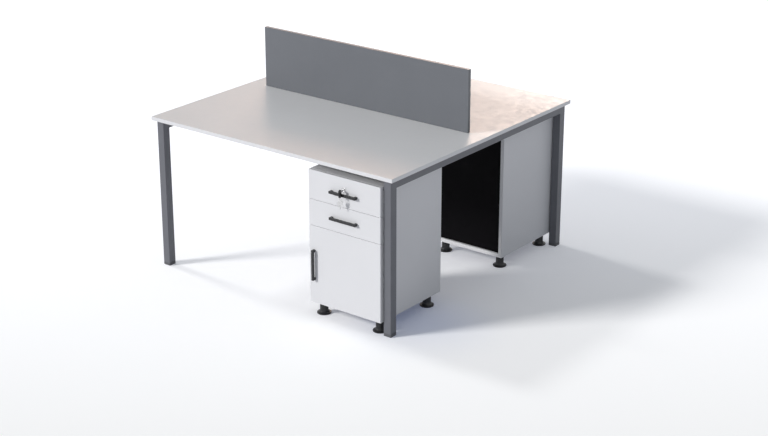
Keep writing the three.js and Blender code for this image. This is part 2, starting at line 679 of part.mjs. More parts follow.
// The set is placed so that its whole box stands over the origin
const desk = new THREE.Group();
const layout = new THREE.Group();
layout.position.y = REAR_PED_INSET / 2;
desk.add(layout);
addWorktop(layout, 'worktop_front', -1);
addWorktop(layout, 'worktop_rear', 1);
addScreen(layout);
for (const [label, side] of [['left', -1], ['right', 1]]) {
  addStudPlate(layout, `screen_stud_plate_${label}`, side);
  addEndFrame(layout, `end_frame_${label}`, side);
  addLegShoe(layout, `leg_shoe_front_${label}`, side, -1);
  addLegShoe(layout, `leg_shoe_rear_${label}`, side, 1);
}
addBeam(layout, 'beam_front', -1);
addBeam(layout, 'beam_rear', 1);
const frontPedestal = addPedestal(layout, 'front_pedestal', -pedCentreY, 0);
addPedestal(layout, 'rear_pedestal', rearPedCentreY, Math.PI);
addSpareKey(frontPedestal, 'front_pedestal');

export default desk;
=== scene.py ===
import json
import math

import bmesh
import bpy
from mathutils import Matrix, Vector


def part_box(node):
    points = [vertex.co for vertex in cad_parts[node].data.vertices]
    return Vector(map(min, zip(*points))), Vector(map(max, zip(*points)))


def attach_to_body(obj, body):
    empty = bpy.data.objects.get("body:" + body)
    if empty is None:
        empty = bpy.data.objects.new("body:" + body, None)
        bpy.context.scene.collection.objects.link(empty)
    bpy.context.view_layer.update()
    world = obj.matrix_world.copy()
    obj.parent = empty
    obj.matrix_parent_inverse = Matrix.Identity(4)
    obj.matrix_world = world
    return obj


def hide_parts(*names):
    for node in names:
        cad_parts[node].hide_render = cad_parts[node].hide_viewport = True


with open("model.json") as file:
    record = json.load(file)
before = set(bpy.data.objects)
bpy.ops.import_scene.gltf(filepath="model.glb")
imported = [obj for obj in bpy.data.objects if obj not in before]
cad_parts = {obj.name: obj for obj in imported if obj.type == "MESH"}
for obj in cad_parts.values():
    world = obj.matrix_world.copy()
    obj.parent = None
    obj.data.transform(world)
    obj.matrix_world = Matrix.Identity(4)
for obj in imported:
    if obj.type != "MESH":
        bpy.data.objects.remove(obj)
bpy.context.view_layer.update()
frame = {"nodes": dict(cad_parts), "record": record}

# Sizes that several pieces share, in metres
MM = 0.001
BOARD = 18 * MM
TUBE = 40 * MM
SLACK = 0.1 * MM
HAIR = 0.01 * MM

# Rounding of edges, in millimetres and in segments
BAND_RADIUS = 0.9
TUBE_RADIUS = 3.0
SHEET_EASE = 0.5
SMALL_EASE = 0.4
EASE_SEGMENTS = 2
EDGE_SEGMENTS = 3
BEND_SEGMENTS = 5
CORNER_SEGMENTS = 6

# How squarely a face or an edge must point to count
SMOOTH_ANGLE = math.radians(32)
SHARP_ANGLE = math.radians(40)
ALONG = 0.999
FLAT = 0.99
FACING = 0.9
UPWARD = 0.5

# Sides of round pieces
ROD_SIDES = 48
PIN_SIDES = 16
SCREW_SIDES = 20
STUD_SIDES = 24
HOLE_SIDES = 32
LOCK_SIDES = 64
FOOT_SIDES = 72
HEX = 6

# The front pedestal's middle in metres, and places on it in millimetres from the floor there
FRONT = "front_pedestal"
REAR = "rear_pedestal"
PEDESTAL_X = 440 * MM
PEDESTAL_Y = -465 * MM
FEET = ("front_left", "front_right", "rear_left", "rear_right")
INSIDE = 180
FRONT_BACK = -202
LOCK_Z = 634
HANDLE_SCREW = 66
SINK = 0.1
PAST = 5

# Turns that lay an upright round piece toward a side
UPRIGHT = (0, 0, 0)
TOWARD_FRONT = (math.pi / 2, 0, 0)
TOWARD_BACK = (-math.pi / 2, 0, 0)
TOWARD_RIGHT = (0, math.pi / 2, 0)
TOWARD_LEFT = (0, -math.pi / 2, 0)
DOWNWARD = (math.pi, 0, 0)
HALF_TURN = (0, 0, math.pi)
ROD_TURNS = {"X": TOWARD_RIGHT, "Y": TOWARD_FRONT, "Z": UPRIGHT}


# Selecting and shaping, as by hand

def calm():
    if bpy.context.mode != "OBJECT":
        leave_edit()
    bpy.ops.object.select_all(action="DESELECT")


def leave_edit():
    bpy.ops.object.mode_set(mode="OBJECT")


def take(piece):
    calm()
    piece.select_set(True)
    bpy.context.view_layer.objects.active = piece


def apply_place():
    bpy.ops.object.transform_apply(location=True, rotation=True, scale=True)


def named(name):
    """Names the piece just added, and puts its place in its mesh."""
    piece = bpy.context.object
    piece.name = name
    apply_place()
    return piece


def around(centre, size):
    return (centre - size / 2, centre + size / 2)


def shifted(place, ends):
    return [place + end for end in ends]


def mirrored(ends, side):
    return sorted(side * end for end in ends)


def block(name, low, high):
    calm()
    low = Vector(low)
    high = Vector(high)
    bpy.ops.mesh.primitive_cube_add(size=1, location=(low + high) / 2)
    bpy.context.object.scale = high - low
    return named(name)


def mm_block(name, x, y, z):
    """A block about the origin, from its ends in millimetres."""
    return block(name, Vector((x[0], y[0], z[0])) * MM, Vector((x[1], y[1], z[1])) * MM)


def rod(name, axis, place, radius, ends, sides=ROD_SIDES):
    calm()
    centre = Vector(place)
    centre["XYZ".index(axis)] = (ends[0] + ends[1]) / 2
    bpy.ops.mesh.primitive_cylinder_add(
        vertices=sides, radius=radius, depth=abs(ends[1] - ends[0]), location=centre, rotation=ROD_TURNS[axis]
    )
    return named(name)


def pick(piece, kind, test):
    take(piece)
    bpy.ops.object.mode_set(mode="EDIT")
    bpy.ops.mesh.select_mode(type=kind)
    bpy.ops.mesh.select_all(action="DESELECT")
    shape = bmesh.from_edit_mesh(piece.data)
    shape.normal_update()
    members = {"FACE": shape.faces, "EDGE": shape.edges, "VERT": shape.verts}[kind]
    for member in members:
        if test(member):
            member.select_set(True)
    shape.select_flush_mode()
    bmesh.update_edit_mesh(piece.data)


def middle(edge):
    return (edge.verts[0].co + edge.verts[1].co) / 2


def runs_along(edge, axis):
    way = edge.verts[1].co - edge.verts[0].co
    return abs(way["XYZ".index(axis)]) > ALONG * way.length


def sharp(edge):
    return edge.is_manifold and edge.calc_face_angle() > SHARP_ANGLE


def round_edges(piece, width, segments, test=lambda edge: True):
    pick(piece, "EDGE", test)
    bpy.ops.mesh.bevel(offset=width * MM, segments=segments, affect="EDGES", clamp_overlap=True)
    leave_edit()


def round_along(piece, axis, width, segments):
    round_edges(piece, width, segments, lambda edge: runs_along(edge, axis))


def ease(piece, width):
    round_edges(piece, width, EASE_SEGMENTS, sharp)


def pull_out(shift):
    """Extrudes the picked faces, and leaves the edit."""
    bpy.ops.mesh.extrude_region_move(TRANSFORM_OT_translate={"value": shift})
    leave_edit()


def shrink(scale, centre):
    """Draws the picked points toward a place, and leaves the edit."""
    bpy.ops.transform.resize(value=scale, center_override=centre)
    leave_edit()


def slice_across(piece, axis, at):
    pick(piece, "FACE", lambda face: True)
    normal = [0, 0, 0]
    normal["XYZ".index(axis)] = 1
    bpy.ops.mesh.bisect(plane_co=Vector(normal) * at, plane_no=normal)
    leave_edit()


def combine(piece, other, operation):
    take(piece)
    boolean = piece.modifiers.new("combine", "BOOLEAN")
    boolean.operation = operation
    boolean.solver = "EXACT"
    boolean.object = other
    bpy.ops.object.modifier_apply(modifier=boolean.name)
    bpy.data.objects.remove(other, do_unlink=True)


def cut(piece, cutter):
    combine(piece, cutter, "DIFFERENCE")


def fuse(piece, other):
    combine(piece, other, "UNION")


def join(piece, others):
    take(piece)
    for other in others:
        other.select_set(True)
    bpy.ops.object.join()
    return piece


def smooth(piece):
    take(piece)
    bpy.ops.object.shade_smooth_by_angle(angle=SMOOTH_ANGLE)
    even = piece.modifiers.new("even", "WEIGHTED_NORMAL")
    even.keep_sharp = True
    bpy.ops.object.modifier_apply(modifier=even.name)


def own_copy(piece, name):
    twin = piece.copy()
    twin.data = piece.data.copy()
    twin.name = name
    bpy.context.collection.objects.link(twin)
    return twin


def lay(piece, turn, place):
    """Turns and places a piece, and puts its place in its mesh."""
    piece.rotation_euler = turn
    piece.location = place
    take(piece)
    apply_place()
    return piece


def turned(name, rings, sides):
    """A round piece about the Z axis, drawn out ring by ring from (radius, height) in millimetres."""
    calm()
    first, start = rings[0]
    bpy.ops.mesh.primitive_circle_add(
        vertices=sides, radius=first * MM, fill_type="NGON", location=(0, 0, start * MM)
    )
    piece = named(name)
    pick(piece, "FACE", lambda face: True)
    for (old, low), (new, high) in zip(rings, rings[1:]):
        bpy.ops.mesh.extrude_region_move(TRANSFORM_OT_translate={"value": (0, 0, (high - low) * MM)})
        size = new / old
        bpy.ops.transform.resize(value=(size, size, 1), center_override=(0, 0, high * MM))
    bpy.ops.mesh.select_all(action="SELECT")
    bpy.ops.mesh.normals_make_consistent(inside=False)
    leave_edit()
    return piece


def below(top, rings):
    """Rings given as (radius, depth under the top), as (radius, height)."""
    return [(radius, top - depth) for radius, depth in rings]


# Material nodes

NOISE_SPREAD = (0.3, 0.7)


def add_node(tree, kind, **settings):
    node = tree.nodes.new(kind)
    for name, value in settings.items():
        setattr(node, name, value)
    return node


def mix_colours(tree, fade, first, second):
    mix = add_node(tree, "ShaderNodeMix", data_type="RGBA")
    mix.inputs["A"].default_value = (*first, 1)
    mix.inputs["B"].default_value = (*second, 1)
    tree.links.new(fade, mix.inputs["Factor"])
    return mix.outputs["Result"]


def map_range(tree, source, start, end, low, high, kind="LINEAR"):
    spread = add_node(tree, "ShaderNodeMapRange", interpolation_type=kind)
    spread.inputs["From Min"].default_value = start
    spread.inputs["From Max"].default_value = end
    spread.inputs["To Min"].default_value = low
    spread.inputs["To Max"].default_value = high
    tree.links.new(source, spread.inputs["Value"])
    return spread.outputs["Result"]


def combine_values(tree, operation, first, second):
    node = add_node(tree, "ShaderNodeMath", operation=operation)
    tree.links.new(first, node.inputs[0])
    tree.links.new(second, node.inputs[1])
    return node.outputs["Value"]


def measure(tree, operation, source, other):
    node = add_node(tree, "ShaderNodeVectorMath", operation=operation)
    tree.links.new(source, node.inputs[0])
    node.inputs[1].default_value = other
    return node.outputs["Value"]


def seen_by_eye(tree):
    """One for a ray from the camera, a mirror or a pane, and nothing for light that bounces."""
    path = add_node(tree, "ShaderNodeLightPath")
    direct = combine_values(tree, "MAXIMUM", path.outputs["Is Camera Ray"], path.outputs["Is Glossy Ray"])
    return combine_values(tree, "MAXIMUM", direct, path.outputs["Is Transmission Ray"])


class Finish:
    """A node material that reads the piece's own coordinates."""

    def __init__(self, name, colour, roughness, metallic=0.0):
        self.material = bpy.data.materials.new(name)
        self.material.use_nodes = True
        self.material.diffuse_color = (*colour, 1)
        self.tree = self.material.node_tree
        self.shader = self.tree.nodes["Principled BSDF"]
        self.set("Base Color", (*colour, 1))
        self.set("Roughness", roughness)
        self.set("Metallic", metallic)
        self.place = add_node(self.tree, "ShaderNodeTexCoord").outputs["Object"]

    def set(self, socket, value):
        self.shader.inputs[socket].default_value = value

    def link(self, source, socket):
        self.tree.links.new(source, self.shader.inputs[socket])

    def noise(self, scale, stretch, detail=3.0):
        mapping = add_node(self.tree, "ShaderNodeMapping")
        mapping.inputs["Scale"].default_value = stretch
        self.tree.links.new(self.place, mapping.inputs["Vector"])
        noise = add_node(self.tree, "ShaderNodeTexNoise")
        noise.inputs["Scale"].default_value = scale
        noise.inputs["Detail"].default_value = detail
        self.tree.links.new(mapping.outputs["Vector"], noise.inputs["Vector"])
        return noise.outputs["Fac"]

    def between(self, source, low, high):
        return map_range(self.tree, source, *NOISE_SPREAD, low, high)

    def mottle(self, first, second, scale, stretch=(1, 1, 1)):
        fade = self.between(self.noise(scale, stretch), 0.0, 1.0)
        self.link(mix_colours(self.tree, fade, first, second), "Base Color")

    def gloss(self, low, high, scale, stretch=(1, 1, 1)):
        self.link(self.between(self.noise(scale, stretch), low, high), "Roughness")

    def grain(self, scale, depth, strength, detail=2.0, stretch=(1, 1, 1)):
        bump = add_node(self.tree, "ShaderNodeBump")
        bump.inputs["Strength"].default_value = strength
        bump.inputs["Distance"].default_value = depth
        self.tree.links.new(self.noise(scale, stretch, detail), bump.inputs["Height"])
        self.link(bump.outputs["Normal"], "Normal")


# Materials

def board_finish(name, colour, shade, roughness, sheen=0.5):
    finish = Finish(name, colour, roughness)
    finish.set("Specular IOR Level", sheen)
    finish.mottle(colour, shade, scale=5.0)
    finish.gloss(roughness - 0.05, roughness + 0.06, scale=40.0)
    finish.grain(scale=1400.0, depth=0.05 * MM, strength=0.35)
    return finish.material


def moulded_finish(name, colour, shade, roughness):
    finish = Finish(name, colour, roughness)
    finish.mottle(colour, shade, scale=60.0)
    finish.gloss(roughness - 0.06, roughness + 0.08, scale=300.0)
    finish.grain(scale=2600.0, depth=0.06 * MM, strength=0.5, detail=3.0)
    return finish.material


def powder_finish(name, colour, shade, low, high):
    finish = Finish(name, colour, (low + high) / 2)
    finish.mottle(colour, shade, scale=12.0)
    finish.gloss(low, high, scale=90.0)
    finish.grain(scale=900.0, depth=0.12 * MM, strength=0.45, detail=1.0)
    return finish.material


def plated_finish(name, colour, shade, low, high, stretch=(1, 1, 1)):
    finish = Finish(name, colour, (low + high) / 2, metallic=1.0)
    finish.mottle(colour, shade, scale=90.0, stretch=stretch)
    finish.gloss(low, high, scale=240.0, stretch=stretch)
    finish.grain(scale=500.0, depth=0.01 * MM, strength=0.25, stretch=stretch)
    return finish.material


WHITE_BOARD = board_finish("white_melamine", (0.80, 0.80, 0.815), (0.785, 0.785, 0.80), 0.42)
WHITE_BAND = board_finish("white_edge_band", (0.82, 0.82, 0.83), (0.80, 0.80, 0.815), 0.34)
TOP_BOARD = board_finish("worktop_melamine", (0.79, 0.785, 0.785), (0.775, 0.77, 0.77), 0.40)
# Painted shade: this grey stands for the worktop's shadow on the pedestal top board.
PAINTED_SHADE_TOP = board_finish("grey_backing", (0.50, 0.50, 0.51), (0.48, 0.48, 0.49), 0.55)
# Painted shade: this grey stands for the worktop's shadow on the upper drawer front's top edge.
PAINTED_SHADE_EDGE = board_finish("grey_top_band", (0.60, 0.60, 0.61), (0.58, 0.58, 0.59), 0.45)
DRAWER_BOARD = board_finish("drawer_foil", (0.70, 0.70, 0.71), (0.68, 0.68, 0.69), 0.5)
SCREEN_BOARD = board_finish("grey_melamine", (0.166, 0.175, 0.193), (0.156, 0.165, 0.183), 0.42)
SCREEN_BAND = board_finish("grey_edge_band", (0.15, 0.16, 0.172), (0.142, 0.152, 0.163), 0.34)
BACK_BOARD = board_finish("black_hardboard", (0.004, 0.0037, 0.0045), (0.006, 0.0055, 0.0065), 0.7, 0.06)
FRAME_COAT = powder_finish("grey_powder_coat", (0.154, 0.158, 0.178), (0.144, 0.148, 0.166), 0.36, 0.48)
SHOE_PLASTIC = moulded_finish("grey_plastic", (0.115, 0.118, 0.127), (0.105, 0.108, 0.117), 0.5)
BLACK_PLASTIC = moulded_finish("black_plastic", (0.009, 0.0092, 0.0105), (0.013, 0.0134, 0.015), 0.45)
STEEL = plated_finish("zinc_plate", (0.62, 0.63, 0.645), (0.55, 0.56, 0.575), 0.28, 0.42, (1, 1, 8))
NICKEL = plated_finish("bright_nickel", (0.78, 0.78, 0.79), (0.70, 0.70, 0.71), 0.10, 0.20)
HANDLE_COAT = moulded_finish("black_handle", (0.016, 0.0164, 0.018), (0.021, 0.0215, 0.0235), 0.38)
CLEAR_RUBBER = moulded_finish("clear_rubber", (0.72, 0.73, 0.74), (0.66, 0.67, 0.68), 0.3)

SLOT_FINISH = {
    "melamine_white": WHITE_BOARD,
    "drawer_white": DRAWER_BOARD,
    "screen_grey": SCREEN_BOARD,
    "back_black": BACK_BOARD,
    "frame_grey": FRAME_COAT,
    "shoe_grey": SHOE_PLASTIC,
    "black_plastic": BLACK_PLASTIC,
    "bare_steel": STEEL,
    "chrome": NICKEL,
}


def dress_cad_nodes():
    slots = {part["node"]: part["material_slot"] for part in frame["record"]["subparts"]}
    for name, node in frame["nodes"].items():
        node.data.materials.clear()
        node.data.materials.append(SLOT_FINISH[slots[name]])


def coat(piece, material, edge_material=None, axis=None):
    piece.data.materials.clear()
    piece.data.materials.append(material)
    if edge_material:
        piece.data.materials.append(edge_material)
        index = "XYZ".index(axis)
        for face in piece.data.polygons:
            face.material_index = 0 if abs(face.normal[index]) > FLAT else 1


def coat_together(parts, material):
    for part in parts:
        coat(part, material)
    return join(parts[0], parts[1:])


def paint_shade_on_top(piece, material):
    """Gives the upper edge of a coated board a material of its own, used to paint the shade under the
    worktop.
    """
    piece.data.materials.append(material)
    for face in piece.data.polygons:
        if face.normal.z > UPWARD:
            face.material_index = len(piece.data.materials) - 1


def attach(piece, body, nodes):
    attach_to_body(piece, body)
    if nodes:
        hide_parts(*nodes)


def settle(piece, body, nodes=()):
    smooth(piece)
    attach(piece, body, nodes)


# Worktops and screen

def rounded_board(name, low, high):
    board = block(name, low, high)
    round_edges(board, BAND_RADIUS, EDGE_SEGMENTS)
    return board


def edged_board(name, low, high, axis, face, band):
    board = rounded_board(name, low, high)
    coat(board, face, band, axis)
    return board


def make_worktops():
    for side in ("front", "rear"):
        node = f"worktop_{side}"
        top = edged_board(f"{node}_board", *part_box(node), "Z", TOP_BOARD, WHITE_BAND)
        settle(top, "desk", [node])


def make_screen():
    screen = edged_board("screen_board", *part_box("privacy_screen"), "Y", SCREEN_BOARD, SCREEN_BAND)
    settle(screen, "desk", ["privacy_screen"])


# Screws, in millimetres

SCREW_HEAD = [(4.2, 0), (4.2, 0.6), (3.6, 1.5), (2.4, 2.1)]
SCREW_RECESS_LENGTH = 4.4
SCREW_RECESS_WIDTH = 0.9
SCREW_RECESS_Z = (0.9, 2.9)


def make_screw_head():
    head = turned("screw_head", SCREW_HEAD, SCREW_SIDES)
    length = around(0, SCREW_RECESS_LENGTH)
    width = around(0, SCREW_RECESS_WIDTH)
    for x, y in ((length, width), (width, length)):
        cut(head, mm_block("recess", x, y, SCREW_RECESS_Z))
    coat(head, STEEL)
    return head


def screws(places, turn, size=1.0):
    made = []
    for place in places:
        screw = own_copy(screw_head, "screw")
        screw.scale = (size, size, size)
        made.append(lay(screw, turn, place))
    return made


# Pedestal pieces, modelled on the front pedestal and copied to the rear one

def on_pedestal(x, y, z):
    return Vector((PEDESTAL_X + x * MM, PEDESTAL_Y + y * MM, z * MM))


def pedestal_block(name, x, y, z):
    return block(name, on_pedestal(x[0], y[0], z[0]), on_pedestal(x[1], y[1], z[1]))


def pedestal_rod(name, axis, place, radius, ends, sides=ROD_SIDES):
    start = on_pedestal(0, 0, 0)["XYZ".index(axis)]
    return rod(
        name, axis, on_pedestal(*place), radius * MM, (start + ends[0] * MM, start + ends[1] * MM), sides
    )


def settle_on_both(piece, body, nodes=()):
    """Settles a front pedestal's piece, and its half-turned copy on the rear pedestal."""
    smooth(piece)
    twin = own_copy(piece, piece.name.replace(FRONT, REAR))
    lay(twin, HALF_TURN, (2 * PEDESTAL_X, 0, 0))
    for one, name in ((piece, FRONT), (twin, REAR)):
        own_body = body if body == "desk" else f"{name}_{body}"
        attach(one, own_body, [f"{name}_{node}" for node in nodes])


# Pedestal carcass, in millimetres

SHELF_PIN_ROWS = (-160, 150)
SHELF_PINS = 6
SHELF_PIN_START = 168
SHELF_PIN_PITCH = 32
SHELF_PIN_RADIUS = 2.5
SHELF_PIN_X = (INSIDE - 1, INSIDE + 10)
STUD_HOLE = 4.3
STUD_HOLE_REACH = 80
STRIKE_WIDTH = 40
STRIKE_Y = (-199, -197)
STRIKE_DROP = 12
STRIKE_CORNER = 4


def shelf_pin_rows(x):
    rods = []
    for y in SHELF_PIN_ROWS:
        for step in range(SHELF_PINS):
            z = SHELF_PIN_START + step * SHELF_PIN_PITCH
            rods.append(pedestal_rod("pin_hole", "X", (0, y, z), SHELF_PIN_RADIUS, x, PIN_SIDES))
    return join(rods[0], rods[1:])


def make_carcass():
    low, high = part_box(f"{FRONT}_side_left")
    across = Vector((2 * PEDESTAL_X, 0, 0))
    flip = Vector((-1, 1, 1))
    outlines = {"left": (low, high), "right": (across + low * flip, across + high * flip)}
    for label, side in (("left", -1), ("right", 1)):
        board = rounded_board(f"{FRONT}_{label}_board", *outlines[label])
        cut(board, shelf_pin_rows(mirrored(SHELF_PIN_X, side)))
        coat(board, WHITE_BOARD, WHITE_BAND, "X")
        settle_on_both(board, "desk", [f"side_{label}"])

    low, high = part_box(f"{FRONT}_top")
    under = (low.x, low.y, high.z - BOARD)
    # The whole top board is coated in a grey that paints the shade under the worktop.
    top = edged_board(f"{FRONT}_top_board", under, high, "Z", PAINTED_SHADE_TOP, PAINTED_SHADE_TOP)
    settle_on_both(top, "desk", ["top"])

    bottom = rounded_board(f"{FRONT}_bottom_board", *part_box(f"{FRONT}_bottom"))
    for foot in FEET:
        low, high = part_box(f"{FRONT}_foot_{foot}")
        reach = around(high.z, STUD_HOLE_REACH * MM)
        cut(bottom, rod("stud_hole", "Z", (low + high) / 2, STUD_HOLE * MM, reach, HOLE_SIDES))
    coat(bottom, WHITE_BOARD, WHITE_BAND, "Z")
    settle_on_both(bottom, "desk", ["bottom"])

    back = edged_board(f"{FRONT}_back_board", *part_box(f"{FRONT}_back"), "Y", BACK_BOARD, BACK_BOARD)
    settle_on_both(back, "desk", ["back"])


def make_strike():
    under = (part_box(f"{FRONT}_top")[1].z - BOARD) / MM
    strike = pedestal_block(
        f"{FRONT}_strike", around(0, STRIKE_WIDTH), STRIKE_Y, (under - STRIKE_DROP, under + SINK)
    )
    halfway = (under - STRIKE_DROP / 2) * MM

    def lower_corner(edge):
        return runs_along(edge, "Y") and middle(edge).z < halfway

    round_edges(strike, STRIKE_CORNER, CORNER_SEGMENTS, lower_corner)
    ease(strike, SMALL_EASE)
    coat(strike, STEEL)
    settle_on_both(strike, "desk")


# Drawer fronts, door and hinges, in millimetres

LOCK_BORE = 9.3
LOCK_BORE_Y = (-230, -190)
BUMPER = [(4.0, 0), (4.0, 0.5), (3.4, 1.1), (2.2, 1.4)]
BUMPER_X = -189
BUMPER_HEIGHTS = (82, 410)
HINGE_HEIGHTS = (142, 349)
CUP_X = 171
CUP_BORE = 13.0
CUP_BORE_Y = (FRONT_BACK - 9, FRONT_BACK + PAST)
CUP_RADIUS = 12.9
CUP_Y = (FRONT_BACK - 8.9, FRONT_BACK + 0.8)
CUP_HOLLOW = 12.1
CUP_HOLLOW_Y = (FRONT_BACK - 8.2, FRONT_BACK + 3)
FLANGE_WIDTH = 42
FLANGE_HEIGHT = 46
FLANGE_THICKNESS = 1
FLANGE_CORNER = 9
FLANGE_SCREW_PITCH = 36
FLANGE_SCREW_SIZE = 0.8
PLATE_X = (177, 179.9)
PLATE_Y = (-162.7, -130.7)
PLATE_HEIGHT = 48
PLATE_CORNER = 7
PLATE_SCREW_Y = -138
PLATE_SCREW_PITCH = 32
ARM_X = (168, 179.7)
ARM_Y = (-200.7, -130.7)
ARM_HEIGHT = 15
ARM_RADIUS = 2.2
ARM_SEGMENTS = 4
ARM_SCREWS_Y = (-141, -164)
HOOK_X = (156, 168.2)
HOOK_Y = (-200.7, -188.7)
HINGE_SCREW_SIZE = 0.95


def make_fronts():
    for level in ("upper", "lower"):
        node = f"{level}_drawer_front"
        front = rounded_board(f"{FRONT}_{level}_front_board", *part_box(f"{FRONT}_{node}"))
        if level == "upper":
            cut(front, pedestal_rod("lock_bore", "Y", (0, 0, LOCK_Z), LOCK_BORE, LOCK_BORE_Y))
        coat(front, WHITE_BOARD, WHITE_BAND, "Y")
        # The upper front's top edge gets a grey: painted shade from the worktop above.
        if level == "upper":
            paint_shade_on_top(front, PAINTED_SHADE_EDGE)
        settle_on_both(front, f"{level}_drawer", [node])

    low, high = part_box(f"{FRONT}_door")
    door = rounded_board(f"{FRONT}_door_board", low, (high.x, low.y + BOARD, high.z))
    for z in HINGE_HEIGHTS:
        cut(door, pedestal_rod("cup_bore", "Y", (CUP_X, 0, z), CUP_BORE, CUP_BORE_Y))
    coat(door, WHITE_BOARD, WHITE_BAND, "Y")
    low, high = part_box(f"{FRONT}_door_handle")
    pull = (low + high) / 2
    behind = PEDESTAL_Y + FRONT_BACK * MM
    heads = [(pull.x, behind, pull.z + side * HANDLE_SCREW * MM) for side in (-1, 1)]
    join(door, door_bumpers() + screws(heads, TOWARD_BACK))
    settle_on_both(door, "door", ["door"])


def door_bumpers():
    made = []
    for z in BUMPER_HEIGHTS:
        bumper = turned("bumper", BUMPER, STUD_SIDES)
        coat(bumper, CLEAR_RUBBER)
        made.append(lay(bumper, TOWARD_BACK, on_pedestal(BUMPER_X, FRONT_BACK, z)))
    return made


def make_hinges():
    for level, z in zip(("lower", "upper"), HINGE_HEIGHTS):
        make_hinge_cup(level, z)
        make_hinge_arm(level, z)


def make_hinge_cup(level, z):
    face = FRONT_BACK + FLANGE_THICKNESS
    width = around(CUP_X, FLANGE_WIDTH)
    height = around(z, FLANGE_HEIGHT)
    flange = pedestal_block(f"{FRONT}_{level}_hinge_cup", width, (FRONT_BACK, face), height)
    round_along(flange, "Y", FLANGE_CORNER, CORNER_SEGMENTS)
    fuse(flange, pedestal_rod("cup", "Y", (CUP_X, 0, z), CUP_RADIUS, CUP_Y))
    cut(flange, pedestal_rod("hollow", "Y", (CUP_X, 0, z), CUP_HOLLOW, CUP_HOLLOW_Y))
    coat(flange, NICKEL)
    heads = [on_pedestal(CUP_X, face - SINK, height) for height in around(z, FLANGE_SCREW_PITCH)]
    join(flange, screws(heads, TOWARD_BACK, FLANGE_SCREW_SIZE))
    settle_on_both(flange, "door")


def make_hinge_arm(level, z):
    plate = pedestal_block(f"{FRONT}_{level}_hinge_arm", PLATE_X, PLATE_Y, around(z, PLATE_HEIGHT))
    round_along(plate, "X", PLATE_CORNER, CORNER_SEGMENTS)
    arm = pedestal_block("arm", ARM_X, ARM_Y, around(z, ARM_HEIGHT))
    fuse(arm, pedestal_block("hook", HOOK_X, HOOK_Y, around(z, ARM_HEIGHT)))
    round_edges(arm, ARM_RADIUS, ARM_SEGMENTS, sharp)
    coat_together([plate, arm], NICKEL)
    heads = [
        on_pedestal(PLATE_X[0] + SINK, PLATE_SCREW_Y, height) for height in around(z, PLATE_SCREW_PITCH)
    ]
    heads += [on_pedestal(ARM_X[0] + 2 * SINK, y, z) for y in ARM_SCREWS_Y]
    join(plate, screws(heads, TOWARD_LEFT, HINGE_SCREW_SIZE))
    settle_on_both(plate, "desk")


# Drawer boxes and slides, in millimetres

BOX_HALF = 167.5
BOX_WALL = 12
BOX_FLOOR = 6
LOCK_NOTCH_WIDTH = 90
LOCK_NOTCH_DROP = 20
RUNNER_X = (169.6, 177.9)
RUNNER_Y = (-189.7, 168)
RUNNER_HEIGHT = 31.4
RUNNER_LIP = 5
RUNNER_TROUGH = 3.2
RUNNER_EASE = 0.7
RUNNER_WEB_X = (BOX_HALF, 170)
RUNNER_WEB_HEIGHT = 23.4
RUNNER_SCREWS_Y = (-172, -20, 130)
RUNNER_SCREW_SIZE = 0.9
CHANNEL_CUT_Y = (-240, 240)
CHANNEL_HOLLOW_X = (169.3, 178.2)
CHANNEL_HOLLOW_HEIGHT = 32
CHANNEL_MOUTH_X = (166, 178.2)
CHANNEL_MOUTH_HEIGHT = 24


def make_drawer_boxes():
    for level in ("upper", "lower"):
        node = f"{level}_drawer_box"
        low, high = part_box(f"{FRONT}_{node}")
        y = ((low.y - PEDESTAL_Y) / MM, (high.y - PEDESTAL_Y) / MM)
        z = (low.z / MM, high.z / MM)
        between = (BOX_WALL - BOX_HALF, BOX_HALF - BOX_WALL)
        behind = y[0] + BOX_WALL
        front = pedestal_block(f"{FRONT}_{level}_box_tray", between, (y[0], behind), z)
        if level == "upper":
            room = (LOCK_Z - LOCK_NOTCH_DROP, z[1] + PAST)
            through = (y[0] - PAST, behind + PAST)
            cut(front, pedestal_block("notch", around(0, LOCK_NOTCH_WIDTH), through, room))
        walls = [
            front,
            pedestal_block("back", between, (y[1] - BOX_WALL, y[1]), z),
            pedestal_block("left", (-BOX_HALF, between[0]), y, z),
            pedestal_block("right", (between[1], BOX_HALF), y, z),
            pedestal_block("floor", between, (behind, y[1] - BOX_WALL), (z[0], z[0] + BOX_FLOOR)),
        ]
        for board in walls:
            ease(board, SHEET_EASE)
        coat_together(walls, DRAWER_BOARD)
        handle_z = sum(corner.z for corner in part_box(f"{FRONT}_{level}_drawer_handle")) / 2 / MM
        heads = [on_pedestal(x, behind, handle_z) for x in (-HANDLE_SCREW, HANDLE_SCREW)]
        join(front, screws(heads, TOWARD_BACK))
        settle_on_both(front, f"{level}_drawer", [node])
        for label, side in (("left", -1), ("right", 1)):
            make_runner(level, label, side, sum(z) / 2)
            make_channel(level, label, side, sum(z) / 2)


def make_runner(level, label, side, z):
    runner = pedestal_block(
        f"{FRONT}_{level}_runner_{label}", mirrored(RUNNER_X, side), RUNNER_Y, around(z, RUNNER_HEIGHT)
    )
    pick(runner, "FACE", lambda face: face.normal.x * side > FACING)
    bpy.ops.mesh.inset(thickness=RUNNER_LIP * MM)
    pull_out((-side * RUNNER_TROUGH * MM, 0, 0))
    web = pedestal_block("web", mirrored(RUNNER_WEB_X, side), RUNNER_Y, around(z, RUNNER_WEB_HEIGHT))
    for part in (runner, web):
        ease(part, RUNNER_EASE)
    coat_together([runner, web], STEEL)
    seat = RUNNER_X[1] - RUNNER_TROUGH - SINK
    heads = [on_pedestal(side * seat, y, z) for y in RUNNER_SCREWS_Y]
    turn = TOWARD_LEFT if side < 0 else TOWARD_RIGHT
    join(runner, screws(heads, turn, RUNNER_SCREW_SIZE))
    settle_on_both(runner, f"{level}_drawer")


